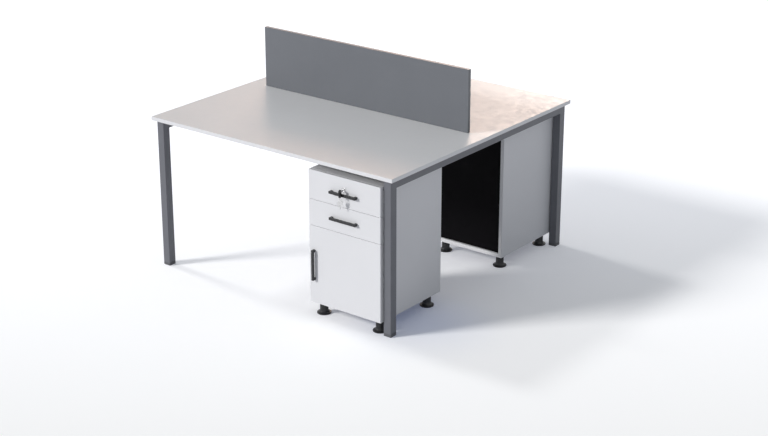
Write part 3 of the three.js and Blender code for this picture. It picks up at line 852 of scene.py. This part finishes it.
def make_channel(level, label, side, z):
    node = f"{level}_slide_{label}"
    slide = block(f"{FRONT}_{level}_channel_{label}", *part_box(f"{FRONT}_{node}"))
    for x, height in ((CHANNEL_HOLLOW_X, CHANNEL_HOLLOW_HEIGHT), (CHANNEL_MOUTH_X, CHANNEL_MOUTH_HEIGHT)):
        cut(slide, pedestal_block("room", mirrored(x, side), CHANNEL_CUT_Y, around(z, height)))
    round_edges(slide, SHEET_EASE, EASE_SEGMENTS, lambda edge: sharp(edge) and runs_along(edge, "Y"))
    coat(slide, STEEL)
    settle_on_both(slide, "desk", [node])


# Bar handles, in millimetres

HANDLE_DEPTH = 10
HANDLE_POST = 12
HANDLE_RADIUS = 2.0


def make_handles():
    for body, axis in (("upper_drawer", "X"), ("lower_drawer", "X"), ("door", "Z")):
        node = f"{body}_handle"
        low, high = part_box(f"{FRONT}_{node}")
        bar = block(f"{FRONT}_{body}_pull", low, (high.x, low.y + HANDLE_DEPTH * MM, high.z))
        index = "XYZ".index(axis)
        centre = (low + high)[index] / 2
        inner = (high - low)[index] / 2 - HANDLE_POST * MM
        for side in (-1, 1):
            slice_across(bar, axis, centre + side * inner)

        def post_end(face):
            return face.normal.y > FACING and abs(face.calc_center_median()[index] - centre) > inner

        pick(bar, "FACE", post_end)
        pull_out((0, high.y - low.y - HANDLE_DEPTH * MM, 0))
        foot = high.y - SLACK
        round_edges(bar, HANDLE_RADIUS, BEND_SEGMENTS, lambda edge: sharp(edge) and middle(edge).y < foot)
        coat(bar, HANDLE_COAT)
        settle_on_both(bar, body, [node])


# Cam lock, in millimetres, with ring profiles as (radius, height) or (radius, depth under the face)

BARREL_RADIUS = 9
BARREL_FACE = [(9, 3), (11, 3), (11, 1.4), (10.4, 0.5), (9.6, 0), (7.6, 0), (7.1, 0.7)]
PLUG_BORE = 6.3
PLUG_TAIL = [(5.6, 0), (6, 0.4)]
PLUG_FACE = [(6, 0.5), (5.5, 0)]
LOCK_NUT = [(13, 0), (14, 0.6), (14, 3.4), (13, 4)]
LOCK_NUT_BORE = 9.0
LOCK_NUT_Y = (FRONT_BACK - PAST, FRONT_BACK + 12)
KEYWAY_WIDTH = 3.2
KEYWAY_HEIGHT = 8.4
KEYWAY_Y = (-2, 9)
CAM_X = (-6, 34)
CAM_THICKNESS = 2.5
CAM_WIDTH = 12
CAM_CORNER = 5.5
CAM_SEGMENTS = 8
CAM_BOLT = [(4.6, 0), (5, 0.5), (5, 2.4), (4.4, 3)]


def make_lock():
    low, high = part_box(f"{FRONT}_lock_barrel")
    face = (low.y - PEDESTAL_Y) / MM
    tail = (high.y - PEDESTAL_Y) / MM
    rings = [(BARREL_RADIUS, 0)] + below(tail - face, BARREL_FACE)
    barrel = turned(f"{FRONT}_lock_sleeve", rings, LOCK_SIDES)
    lay(barrel, TOWARD_FRONT, on_pedestal(0, tail, LOCK_Z))
    through = (face - PAST, tail + PAST)
    cut(barrel, pedestal_rod("plug_bore", "Y", (0, 0, LOCK_Z), PLUG_BORE, through, LOCK_SIDES))
    coat(barrel, NICKEL)
    nut = turned("nut", LOCK_NUT, HEX)
    lay(nut, TOWARD_BACK, on_pedestal(0, FRONT_BACK + SINK, LOCK_Z))
    cut(nut, pedestal_rod("thread_bore", "Y", (0, 0, LOCK_Z), LOCK_NUT_BORE, LOCK_NUT_Y))
    coat(nut, STEEL)
    join(barrel, [nut])
    settle_on_both(barrel, "upper_drawer", ["lock_barrel"])
    make_plug(face)
    make_key(face)


def make_plug(face):
    back = (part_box(f"{FRONT}_key")[1].y - PEDESTAL_Y) / MM
    plug = turned(f"{FRONT}_lock_plug", PLUG_TAIL + below(back - face, PLUG_FACE), LOCK_SIDES)
    lay(plug, TOWARD_FRONT, on_pedestal(0, back, LOCK_Z))
    slot = shifted(face, KEYWAY_Y)
    cut(plug, pedestal_block("keyway", around(0, KEYWAY_WIDTH), slot, around(LOCK_Z, KEYWAY_HEIGHT)))
    cam = pedestal_block("cam", CAM_X, (back - CAM_THICKNESS, back), around(LOCK_Z, CAM_WIDTH))
    round_along(cam, "Y", CAM_CORNER, CAM_SEGMENTS)
    ease(cam, SMALL_EASE)
    bolt = turned("cam_bolt", CAM_BOLT, HEX)
    lay(bolt, TOWARD_BACK, on_pedestal(0, back - SINK, LOCK_Z))
    coat_together([plug, cam, bolt], NICKEL)
    settle_on_both(plug, "key", ["key"])


# Folding key, in millimetres

KEY_THICKNESS = 2.6
KEY_BLADE_WIDTH = 7
KEY_BLADE_FRONT = 5
KEY_BLADE_DEPTH = 8
KEY_BLADE_CORNER = 3.2
KEY_BLADE_EASE = 0.35
KEY_COLLAR_HEIGHT = 10
KEY_COLLAR_Y = (-9, -3)
KEY_RIVET = [(1.6, 0), (2.0, 0.3)]
KEY_HEAD_WIDTH = 16
KEY_HEAD_LENGTH = 37
KEY_HEAD_THICKNESS = 5
KEY_HEAD_CORNER = 7.2
KEY_HEAD_SEGMENTS = 10
KEY_HEAD_RADIUS = 0.8
KEY_RECESS_RIM = 1.6
KEY_RECESS_DEPTH = 0.5
KEY_RECESS_AREA = 100
KEY_HOLE = 3.5
KEY_HOLE_EDGE = 6.5
KEY_HOLE_X = (-9, 9)
KEY_SLOT_WIDTH = 3
KEY_SLOT_Y = (-6, 20)
KEY_SLOT_Z = (-4.2, 20)


def make_key(face):
    pin = (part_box(f"{FRONT}_key")[0].y - PEDESTAL_Y) / MM + KEY_HEAD_WIDTH / 2
    half = KEY_HEAD_THICKNESS / 2
    thickness = around(0, KEY_THICKNESS)
    tang = pedestal_block(
        f"{FRONT}_key_blade", thickness, (pin - KEY_BLADE_FRONT, face + KEY_BLADE_DEPTH),
        around(LOCK_Z, KEY_BLADE_WIDTH),
    )

    def front_corner(edge):
        return runs_along(edge, "X") and middle(edge).y < PEDESTAL_Y + pin * MM

    round_edges(tang, KEY_BLADE_CORNER, BEND_SEGMENTS, front_corner)
    ease(tang, KEY_BLADE_EASE)
    reach = shifted(face, KEY_COLLAR_Y)
    collar = pedestal_block("collar", thickness, reach, around(LOCK_Z, KEY_COLLAR_HEIGHT))
    ease(collar, SHEET_EASE)
    rings = [(radius, height - half) for radius, height in KEY_RIVET]
    rings += [(radius, -height) for radius, height in reversed(rings)]
    rivet = turned("rivet", rings, STUD_SIDES)
    lay(rivet, TOWARD_RIGHT, on_pedestal(0, pin, LOCK_Z))
    coat_together([tang, collar, rivet], NICKEL)
    settle_on_both(tang, "key")
    make_key_head(pin)


def make_key_head(pin):
    top = LOCK_Z + KEY_HEAD_WIDTH / 2
    bottom = top - KEY_HEAD_LENGTH
    head = pedestal_block(
        f"{FRONT}_key_head", around(0, KEY_HEAD_THICKNESS), around(pin, KEY_HEAD_WIDTH), (bottom, top)
    )
    round_along(head, "X", KEY_HEAD_CORNER, KEY_HEAD_SEGMENTS)
    round_edges(head, KEY_HEAD_RADIUS, EDGE_SEGMENTS, sharp)
    large = KEY_RECESS_AREA * MM * MM
    for side in (-1, 1):
        pick(head, "FACE", lambda flat: flat.normal.x * side > FLAT and flat.calc_area() > large)
        bpy.ops.mesh.inset(thickness=KEY_RECESS_RIM * MM)
        pull_out((-side * KEY_RECESS_DEPTH * MM, 0, 0))
    hole = (0, pin, bottom + KEY_HOLE_EDGE)
    cut(head, pedestal_rod("ring_hole", "X", hole, KEY_HOLE, KEY_HOLE_X, HOLE_SIDES))

    def hole_rim(edge):
        away = middle(edge) - on_pedestal(*hole)
        near = math.hypot(away.y, away.z) < KEY_HOLE * MM + SLACK
        return near and sharp(edge) and not runs_along(edge, "X")

    round_edges(head, SMALL_EASE, EASE_SEGMENTS, hole_rim)
    slot = pedestal_block(
        "tang_slot", around(0, KEY_SLOT_WIDTH), shifted(pin, KEY_SLOT_Y), shifted(LOCK_Z, KEY_SLOT_Z)
    )
    cut(head, slot)
    coat(head, BLACK_PLASTIC)
    settle_on_both(head, "key")


# Spare key on its ring, in millimetres and degrees

RING_RADIUS = 8.5
RING_WIRE = 1.6
RING_COIL = 0.44
RING_COIL_SHIFT = 0.34
RING_LIP = 2.1
RING_LIP_BAND = 1
RING_SEAT = 0.3
RING_TURN = -25
SPARE_TURN = 15
SPARE_BOW = [(12.6, -1.3), (13, -0.9), (13, 0.9), (12.6, 1.3), (11.0, 1.3), (10.7, 0.9)]
SPARE_BOW_STRETCH = 14 / 13
SPARE_BOW_DROP = 8
SPARE_HOLE_Y = (-4, 4)
SPARE_BLADE_WIDTH = 7
SPARE_BLADE_Z = (-37, -18)
SPARE_TAPER = 0.3
SPARE_TEETH = (1.6, 2.4, 1.2, 2.0)
SPARE_TOOTH_START = -24.0
SPARE_TOOTH_PITCH = 2.8
SPARE_TOOTH_WIDTH = 2.0
SPARE_TOOTH_X = (3.6, 5)
SPARE_TOOTH_INNER = 4
SPARE_TOOTH_Y = (-2, 2)
SPARE_GROOVE_X = (-1.4, -0.4)
SPARE_GROOVE_Y = (-2, -0.7)
SPARE_GROOVE_Z = (-38, -23)
SPARE_EASE = 0.2


def make_spare_key():
    node = f"{FRONT}_spare_key"
    low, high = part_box(node)
    hole_y = (low.y + high.y) / 2
    ring_centre = Vector((PEDESTAL_X, hole_y, high.z - (RING_RADIUS + RING_WIRE / 2) * MM))
    ring = key_ring()
    ring.name = f"{FRONT}_key_ring"
    lay(ring, TOWARD_FRONT, (0, 0, 0))
    lay(ring, (0, 0, math.radians(RING_TURN)), ring_centre)
    coat(ring, NICKEL)
    settle(ring, f"{FRONT}_key", [node])

    bow = turned("spare_bow", SPARE_BOW, LOCK_SIDES)
    bow.scale = (SPARE_BOW_STRETCH, 1, 1)
    lay(bow, TOWARD_FRONT, (0, 0, -SPARE_BOW_DROP * MM))
    reach = [end * MM for end in SPARE_HOLE_Y]
    cut(bow, rod("ring_hole", "Y", (0, 0, 0), KEY_HOLE * MM, reach, HOLE_SIDES))
    spare = coat_together([bow, spare_blade()], NICKEL)
    spare.name = f"{FRONT}_spare_blade"
    hole_z = ring_centre.z - (RING_RADIUS - RING_WIRE / 2 + RING_SEAT + KEY_HOLE) * MM
    lay(spare, (0, 0, math.radians(SPARE_TURN)), (PEDESTAL_X, hole_y, hole_z))
    settle(spare, f"{FRONT}_key")


def key_ring():
    """Two coils of wire, each with a lip where its end lies past the other."""
    def at_lip(vert):
        return vert.co.x > (RING_RADIUS - RING_LIP_BAND) * MM and abs(vert.co.y) < RING_LIP * MM

    coils = []
    for shift in (-RING_COIL_SHIFT * MM, RING_COIL_SHIFT * MM):
        calm()
        bpy.ops.mesh.primitive_torus_add(
            major_radius=RING_RADIUS * MM, minor_radius=RING_COIL * MM, major_segments=64, minor_segments=10
        )
        coil = bpy.context.object
        pick(coil, "VERT", at_lip)
        bpy.ops.transform.translate(value=(0, 0, shift))
        leave_edit()
        coils.append(lay(coil, UPRIGHT, (0, 0, shift)))
    return join(coils[0], coils[1:])


def spare_blade():
    blade = mm_block("blade", around(0, SPARE_BLADE_WIDTH), around(0, KEY_THICKNESS), SPARE_BLADE_Z)
    tip = SPARE_BLADE_Z[0] * MM
    pick(blade, "VERT", lambda vert: vert.co.z < tip + HAIR)
    shrink((SPARE_TAPER, 1, 1), (0, 0, tip))
    for step, depth in enumerate(SPARE_TEETH):
        z = SPARE_TOOTH_START - SPARE_TOOTH_PITCH * step
        x = (SPARE_TOOTH_X[0] - depth, SPARE_TOOTH_X[1])
        tooth = mm_block("tooth", x, SPARE_TOOTH_Y, around(z, SPARE_TOOTH_WIDTH))
        pick(tooth, "VERT", lambda vert: vert.co.x < SPARE_TOOTH_INNER * MM)
        shrink((1, 1, SPARE_TAPER), (0, 0, z * MM))
        cut(blade, tooth)
    cut(blade, mm_block("groove", SPARE_GROOVE_X, SPARE_GROOVE_Y, SPARE_GROOVE_Z))
    round_edges(blade, SPARE_EASE, 1, sharp)
    return blade


# Levelling feet and threaded studs, in millimetres

FOOT_RIM = [(1.4, 0), (0.4, 0.5), (0, 1.4), (0, 4.4), (0.5, 5.6), (1.6, 6.3)]
FOOT_FILLET = 14.5
FOOT_FILLET_STEPS = 10
FOOT_NECK = 19
FOOT_NECK_TOP = 61.7
FOOT_NECK_END = [(19, 1.2), (18.6, 0.4), (17.8, 0)]
FOOT_FLUTES = 12
FLUTE_CIRCLE = 20.6
FLUTE_RADIUS = 2.6
FLUTE_Z = (33, 66)
FOOT_STUD_Z = (FOOT_NECK_TOP - 1, FOOT_NECK_TOP + 16)
THREAD_CORE = 3.4
THREAD_TURN = [(3.4, 0.2), (4.0, 0.55), (4.0, 0.75), (3.4, 1.1)]
THREAD_PITCH = 1.25
THREAD_END = 1
STUD_TIP = [(3.4, 0.6), (2.8, 0), (1.6, 0), (1.6, 3)]


def foot_rings(disc):
    rings = [(disc - inset, height) for inset, height in FOOT_RIM]
    outer, start = rings[-1]
    for step in range(1, FOOT_FILLET_STEPS + 1):
        angle = math.pi / 2 * step / FOOT_FILLET_STEPS
        radius = FOOT_NECK + (outer - FOOT_NECK) * (1 - math.sin(angle))
        rings.append((radius, start + FOOT_FILLET * (1 - math.cos(angle))))
    return rings + below(FOOT_NECK_TOP, FOOT_NECK_END)


def make_feet():
    low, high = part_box(f"{FRONT}_foot_{FEET[0]}")
    pad = turned("foot_pad", foot_rings((high.x - low.x) / 2 / MM), FOOT_SIDES)
    flutes = []
    for step in range(FOOT_FLUTES):
        angle = 2 * math.pi * step / FOOT_FLUTES
        place = Vector((math.cos(angle), math.sin(angle), 0)) * FLUTE_CIRCLE * MM
        flutes.append(rod("flute", "Z", place, FLUTE_RADIUS * MM, [end * MM for end in FLUTE_Z], PIN_SIDES))
    cut(pad, join(flutes[0], flutes[1:]))
    coat(pad, BLACK_PLASTIC)
    stud = threaded_stud(*FOOT_STUD_Z)
    for foot in FEET:
        node = f"foot_{foot}"
        low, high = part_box(f"{FRONT}_{node}")
        place = ((low.x + high.x) / 2, (low.y + high.y) / 2, 0)
        own_pad = lay(own_copy(pad, f"{FRONT}_{node}_pad"), UPRIGHT, place)
        settle_on_both(own_pad, node, [node])
        own_stud = lay(own_copy(stud, f"{FRONT}_{node}_stud"), UPRIGHT, place)
        settle_on_both(own_stud, node)
    for master in (pad, stud):
        bpy.data.objects.remove(master, do_unlink=True)


def threaded_stud(start, end):
    rings = [(THREAD_CORE, start)]
    for step in range(int((end - start - THREAD_END) / THREAD_PITCH)):
        rings += [(radius, start + step * THREAD_PITCH + height) for radius, height in THREAD_TURN]
    stud = turned("stud", rings + below(end, STUD_TIP), STUD_SIDES)
    coat(stud, STEEL)
    return stud


# End frames, shoes, beams and stud plates, in millimetres

RAIL_SCREWS = (-450, -60, 60, 450)
RAIL_SCREW_SIZE = 1.2
WELD_RADIUS = 2.2
WELD_INSET = 4
WELD_END_RADIUS = 1.2
SHOE_TOP = 14
SHOE_SHOULDER = 2.3
SHOE_SOLE_RADIUS = 1.4
BEAM_INSET = 2
BEAM_VENT = 5
BEAM_VENT_INSET = 44
BEAM_VENT_Z = (-10, 12)
BEAM_PLATE = 4
BEAM_PLATE_CORNER = 6
BEAM_BOLTS = (-40, 40)
WASHER = [(6.4, 0), (6.4, 1.0), (6.0, 1.3)]
BOLT = [(5.6, 1.2), (5.9, 1.5), (5.9, 5.2), (5.2, 5.8)]
STUD_PLATE = 4
STUD_PLATE_CORNER = 8
STUD_PLATE_SCREWS = ((-20, -28), (-20, 28), (20, -28), (20, 28))
STUD_PLATE_SCREW_SIZE = 1.1


def make_end_frames():
    for label in ("left", "right"):
        node = f"end_frame_{label}"
        low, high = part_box(node)
        centre = (low + high) / 2
        under = high.z - TUBE
        joints = (low.y + TUBE, high.y - TUBE)
        frame_tube = block(f"{node}_tube", (low.x, low.y, under), high)
        for y in joints:
            slice_across(frame_tube, "Y", y)

        def leg_end(face):
            away = abs(face.calc_center_median().y - centre.y)
            return face.normal.z < -FACING and away > joints[1] - centre.y

        pick(frame_tube, "FACE", leg_end)
        pull_out((0, 0, low.z - under))

        def tube_corner(edge):
            return sharp(edge) and (runs_along(edge, "Z") or runs_along(edge, "Y"))

        round_edges(frame_tube, TUBE_RADIUS, BEND_SEGMENTS, tube_corner)
        coat(frame_tube, FRAME_COAT)
        welds = []
        for y in joints:
            ends = (low.x + WELD_INSET * MM, high.x - WELD_INSET * MM)
            bead = rod("weld", "X", (0, y, under), WELD_RADIUS * MM, ends, PIN_SIDES)
            round_edges(bead, WELD_END_RADIUS, EDGE_SEGMENTS, sharp)
            coat(bead, FRAME_COAT)
            welds.append(bead)
        heads = [(centre.x, centre.y + y * MM, under) for y in RAIL_SCREWS]
        join(frame_tube, welds + screws(heads, DOWNWARD, RAIL_SCREW_SIZE))
        settle(frame_tube, "desk", [node])


def make_shoes():
    for label in ("left", "right"):
        for end in ("front", "rear"):
            node = f"leg_shoe_{end}_{label}"
            low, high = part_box(node)
            shoe = block(f"{node}_cap", low, (high.x, high.y, SHOE_TOP * MM))
            pick(shoe, "FACE", lambda face: face.normal.z > FACING)
            bpy.ops.mesh.inset(thickness=SHOE_SHOULDER * MM)
            pull_out((0, 0, high.z - SHOE_TOP * MM))
            centre = (low + high) / 2
            rim = (high.x - low.x) / 2 - SLACK

            def cap_corner(edge):
                away = middle(edge) - centre
                return runs_along(edge, "Z") and max(abs(away.x), abs(away.y)) > rim

            def sole_edge(edge):
                return middle(edge).z < HAIR and sharp(edge)

            round_edges(shoe, TUBE_RADIUS, BEND_SEGMENTS, cap_corner)
            round_edges(shoe, SHOE_SOLE_RADIUS, EDGE_SEGMENTS, sole_edge)
            coat(shoe, SHOE_PLASTIC)
            settle(shoe, "desk", [node])


def make_beams():
    for label in ("front", "rear"):
        node = f"beam_{label}"
        low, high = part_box(node)
        centre = (low + high) / 2
        start = Vector((low.x + BEAM_INSET * MM, centre.y - TUBE / 2, low.z))
        end = Vector((high.x - BEAM_INSET * MM, centre.y + TUBE / 2, high.z))
        beam = block(f"{node}_tube", start, end)
        round_along(beam, "X", TUBE_RADIUS, BEND_SEGMENTS)
        reach = [low.z + z * MM for z in BEAM_VENT_Z]
        for x in (low.x + BEAM_VENT_INSET * MM, high.x - BEAM_VENT_INSET * MM):
            cut(beam, rod("vent", "Z", (x, centre.y, 0), BEAM_VENT * MM, reach, HOLE_SIDES))
        coat(beam, FRAME_COAT)
        join(beam, beam_end(low, high, -1) + beam_end(low, high, 1))
        settle(beam, "desk", [node])


def beam_end(low, high, side):
    """The bolting plate at one end of a beam, with its washers and bolts."""
    outer = low.x if side < 0 else high.x
    inner = outer - side * BEAM_PLATE * MM
    plate = block("plate", (min(inner, outer), low.y, low.z), (max(inner, outer), high.y, high.z))
    round_along(plate, "X", BEAM_PLATE_CORNER, BEND_SEGMENTS)
    ease(plate, SHEET_EASE)
    coat(plate, FRAME_COAT)
    made = [plate]
    centre = (low + high) / 2
    turn = TOWARD_LEFT if side > 0 else TOWARD_RIGHT
    for y in BEAM_BOLTS:
        for part in (turned("washer", WASHER, HOLE_SIDES), turned("bolt", BOLT, HEX)):
            coat(part, STEEL)
            made.append(lay(part, turn, (inner, centre.y + y * MM, centre.z)))
    return made


def make_stud_plates():
    for label in ("left", "right"):
        node = f"screen_stud_plate_{label}"
        low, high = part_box(node)
        top = low.z + STUD_PLATE * MM
        centre = (low + high) / 2
        plate = block(f"{node}_steel", low, (high.x, high.y, top))
        round_along(plate, "Z", STUD_PLATE_CORNER, CORNER_SEGMENTS)
        ease(plate, SHEET_EASE)
        coat(plate, STEEL)
        stud = lay(threaded_stud(0, (high.z - top) / MM), UPRIGHT, (centre.x, centre.y, top))
        heads = [(centre.x + x * MM, centre.y + y * MM, low.z) for x, y in STUD_PLATE_SCREWS]
        join(plate, [stud] + screws(heads, DOWNWARD, STUD_PLATE_SCREW_SIZE))
        settle(plate, "desk", [node])


# Studio, in metres and degrees

CAMERA_PLACE = (4.847, -6.122, 3.225)
CAMERA_AIM = (0.119, 0.012, 0.215)
CAMERA_LENS = 81.83
SUN_DISTANCE = 6
SUN_WAY = (-0.59, -0.807)
SUN_HEIGHT = 24
SUN_SPREAD = 9
BACK_WAY = (-0.62, 0.785)
DAYLIGHT = (1.0, 0.99, 0.98)
PURE_WHITE = (1.0, 1.0, 1.0)
SKY_COLOUR = (0.87, 0.93, 1.0)
SKY_STRENGTH = (0.33, 1.0)
FLOOR_BOUNCE_COLOUR = (0.57, 0.575, 0.61)
FLOOR_SEEN_COLOUR = (0.90, 0.90, 0.90)
# The floor's emission, which only camera, mirror and pane rays see, whitens the floor and paints a glow that
# grows toward the back-left to lighten the far shadows; round SHADE_PLACE it turns to a dim blue that paints
# shade beside the front pedestal.
GLOW_COLOUR = (0.83, 0.86, 0.98)
GLOW_REACH = (-1.8, 1.4)
GLOW_STRENGTH = (0.02, 0.32)
SHADE_COLOUR = (0.05, 0.20, 0.75)
SHADE_PLACE = (0.72, -0.50, 0.0)
SHADE_REACH = 0.46


def stand(name, data, place, aim):
    thing = bpy.data.objects.new(name, data)
    bpy.context.collection.objects.link(thing)
    thing.location = place
    way = Vector(aim) - Vector(place)
    thing.rotation_euler = way.to_track_quat("-Z", "Y").to_euler()
    return thing


def make_camera():
    data = bpy.data.cameras.new("camera")
    data.lens = CAMERA_LENS
    data.sensor_width = 36.0
    bpy.context.scene.camera = stand("camera", data, CAMERA_PLACE, CAMERA_AIM)


def aimed_light(name, kind, place, aim, energy, colour, **values):
    data = bpy.data.lights.new(name, kind)
    data.energy = energy
    data.color = colour
    for key, value in values.items():
        setattr(data, key, value)
    return stand(name, data, place, aim)


def sun(name, place, energy, colour, spread):
    return aimed_light(name, "SUN", place, (0, 0, 0), energy, colour, angle=math.radians(spread))


def sun_place(way, height):
    """A lamp's place, in the level direction given and at a height in degrees."""
    height = math.radians(height)
    level = math.cos(height)
    return Vector((way[0] * level, way[1] * level, math.sin(height))) * SUN_DISTANCE


def light_group(name, lamps, floor, state):
    """Makes the floor the one thing that some lamps light, or the one that they leave out."""
    group = bpy.data.collections.new(name)
    group.objects.link(floor)
    group.collection_objects[0].light_linking.link_state = state
    for lamp in lamps:
        lamp.light_linking.receiver_collection = group


def make_lights(floor):
    main_place = sun_place(SUN_WAY, SUN_HEIGHT)
    matt_sun = sun("matt_sun", main_place, energy=1.6, colour=DAYLIGHT, spread=SUN_SPREAD)
    matt_sun.visible_glossy = False
    desk_lamps = [
        matt_sun,
        sun("key_sun", main_place, energy=0.6, colour=DAYLIGHT, spread=SUN_SPREAD),
        sun("warm_sun", sun_place(BACK_WAY, 23), energy=0.135, colour=(1.0, 0.58, 0.38), spread=11),
        aimed_light(
            "warm_spot", "SPOT", place=(-2.4, 4.9, 2.65), aim=(0.40, -0.20, 0.74), energy=730,
            colour=(1.0, 0.785, 0.66), spot_size=math.radians(12), spot_blend=0.8, shadow_soft_size=0.9,
        ),
    ]
    floor_lamps = [
        sun("floor_front", sun_place((-0.60, -0.80), 28.5), energy=2.7, colour=DAYLIGHT, spread=14),
        sun("floor_left", sun_place((-0.998, 0.064), 44.6), energy=0.67, colour=PURE_WHITE, spread=8),
        sun("floor_ceiling", (0, 0, SUN_DISTANCE), energy=0.40, colour=(1.0, 0.96, 0.90), spread=120),
    ]
    light_group("all_but_floor", desk_lamps, floor, "EXCLUDE")
    light_group("floor_only", floor_lamps, floor, "INCLUDE")


def make_world():
    world = bpy.data.worlds.new("studio")
    world.use_nodes = True
    bpy.context.scene.world = world
    tree = world.node_tree
    background = tree.nodes["Background"]
    seen = seen_by_eye(tree)
    tree.links.new(mix_colours(tree, seen, SKY_COLOUR, PURE_WHITE), background.inputs["Color"])
    strength = map_range(tree, seen, 0.0, 1.0, *SKY_STRENGTH)
    tree.links.new(strength, background.inputs["Strength"])


def make_floor():
    calm()
    bpy.ops.mesh.primitive_plane_add(size=60, location=(0, 0, 0))
    floor = named("studio_floor")
    finish = Finish("pale_floor", FLOOR_SEEN_COLOUR, roughness=0.9)
    finish.set("Specular IOR Level", 0.0)
    tree = finish.tree
    seen = seen_by_eye(tree)
    finish.link(mix_colours(tree, seen, FLOOR_BOUNCE_COLOUR, FLOOR_SEEN_COLOUR), "Base Color")
    # Painted shade: the emission turns dim blue round a spot beside the front pedestal.
    distance = measure(tree, "DISTANCE", finish.place, SHADE_PLACE)
    fade = map_range(tree, distance, 0.0, SHADE_REACH, 0.0, 1.0, "SMOOTHSTEP")
    finish.link(mix_colours(tree, fade, SHADE_COLOUR, GLOW_COLOUR), "Emission Color")
    # Painted glow: the emission grows toward the back-left, lightening the floor's far shadows.
    away = measure(tree, "DOT_PRODUCT", finish.place, (*BACK_WAY, 0.0))
    glow = map_range(tree, away, *GLOW_REACH, *GLOW_STRENGTH)
    finish.link(combine_values(tree, "MULTIPLY", glow, seen), "Emission Strength")
    floor.data.materials.append(finish.material)
    return floor


make_camera()
make_world()
make_lights(make_floor())
dress_cad_nodes()
make_worktops()
make_screen()
screw_head = make_screw_head()
make_carcass()
make_strike()
make_fronts()
make_hinges()
make_drawer_boxes()
make_handles()
make_lock()
make_spare_key()
make_feet()
make_end_frames()
make_shoes()
make_beams()
make_stud_plates()
bpy.data.objects.remove(screw_head, do_unlink=True)

bpy.context.scene.view_settings.view_transform = "Standard"
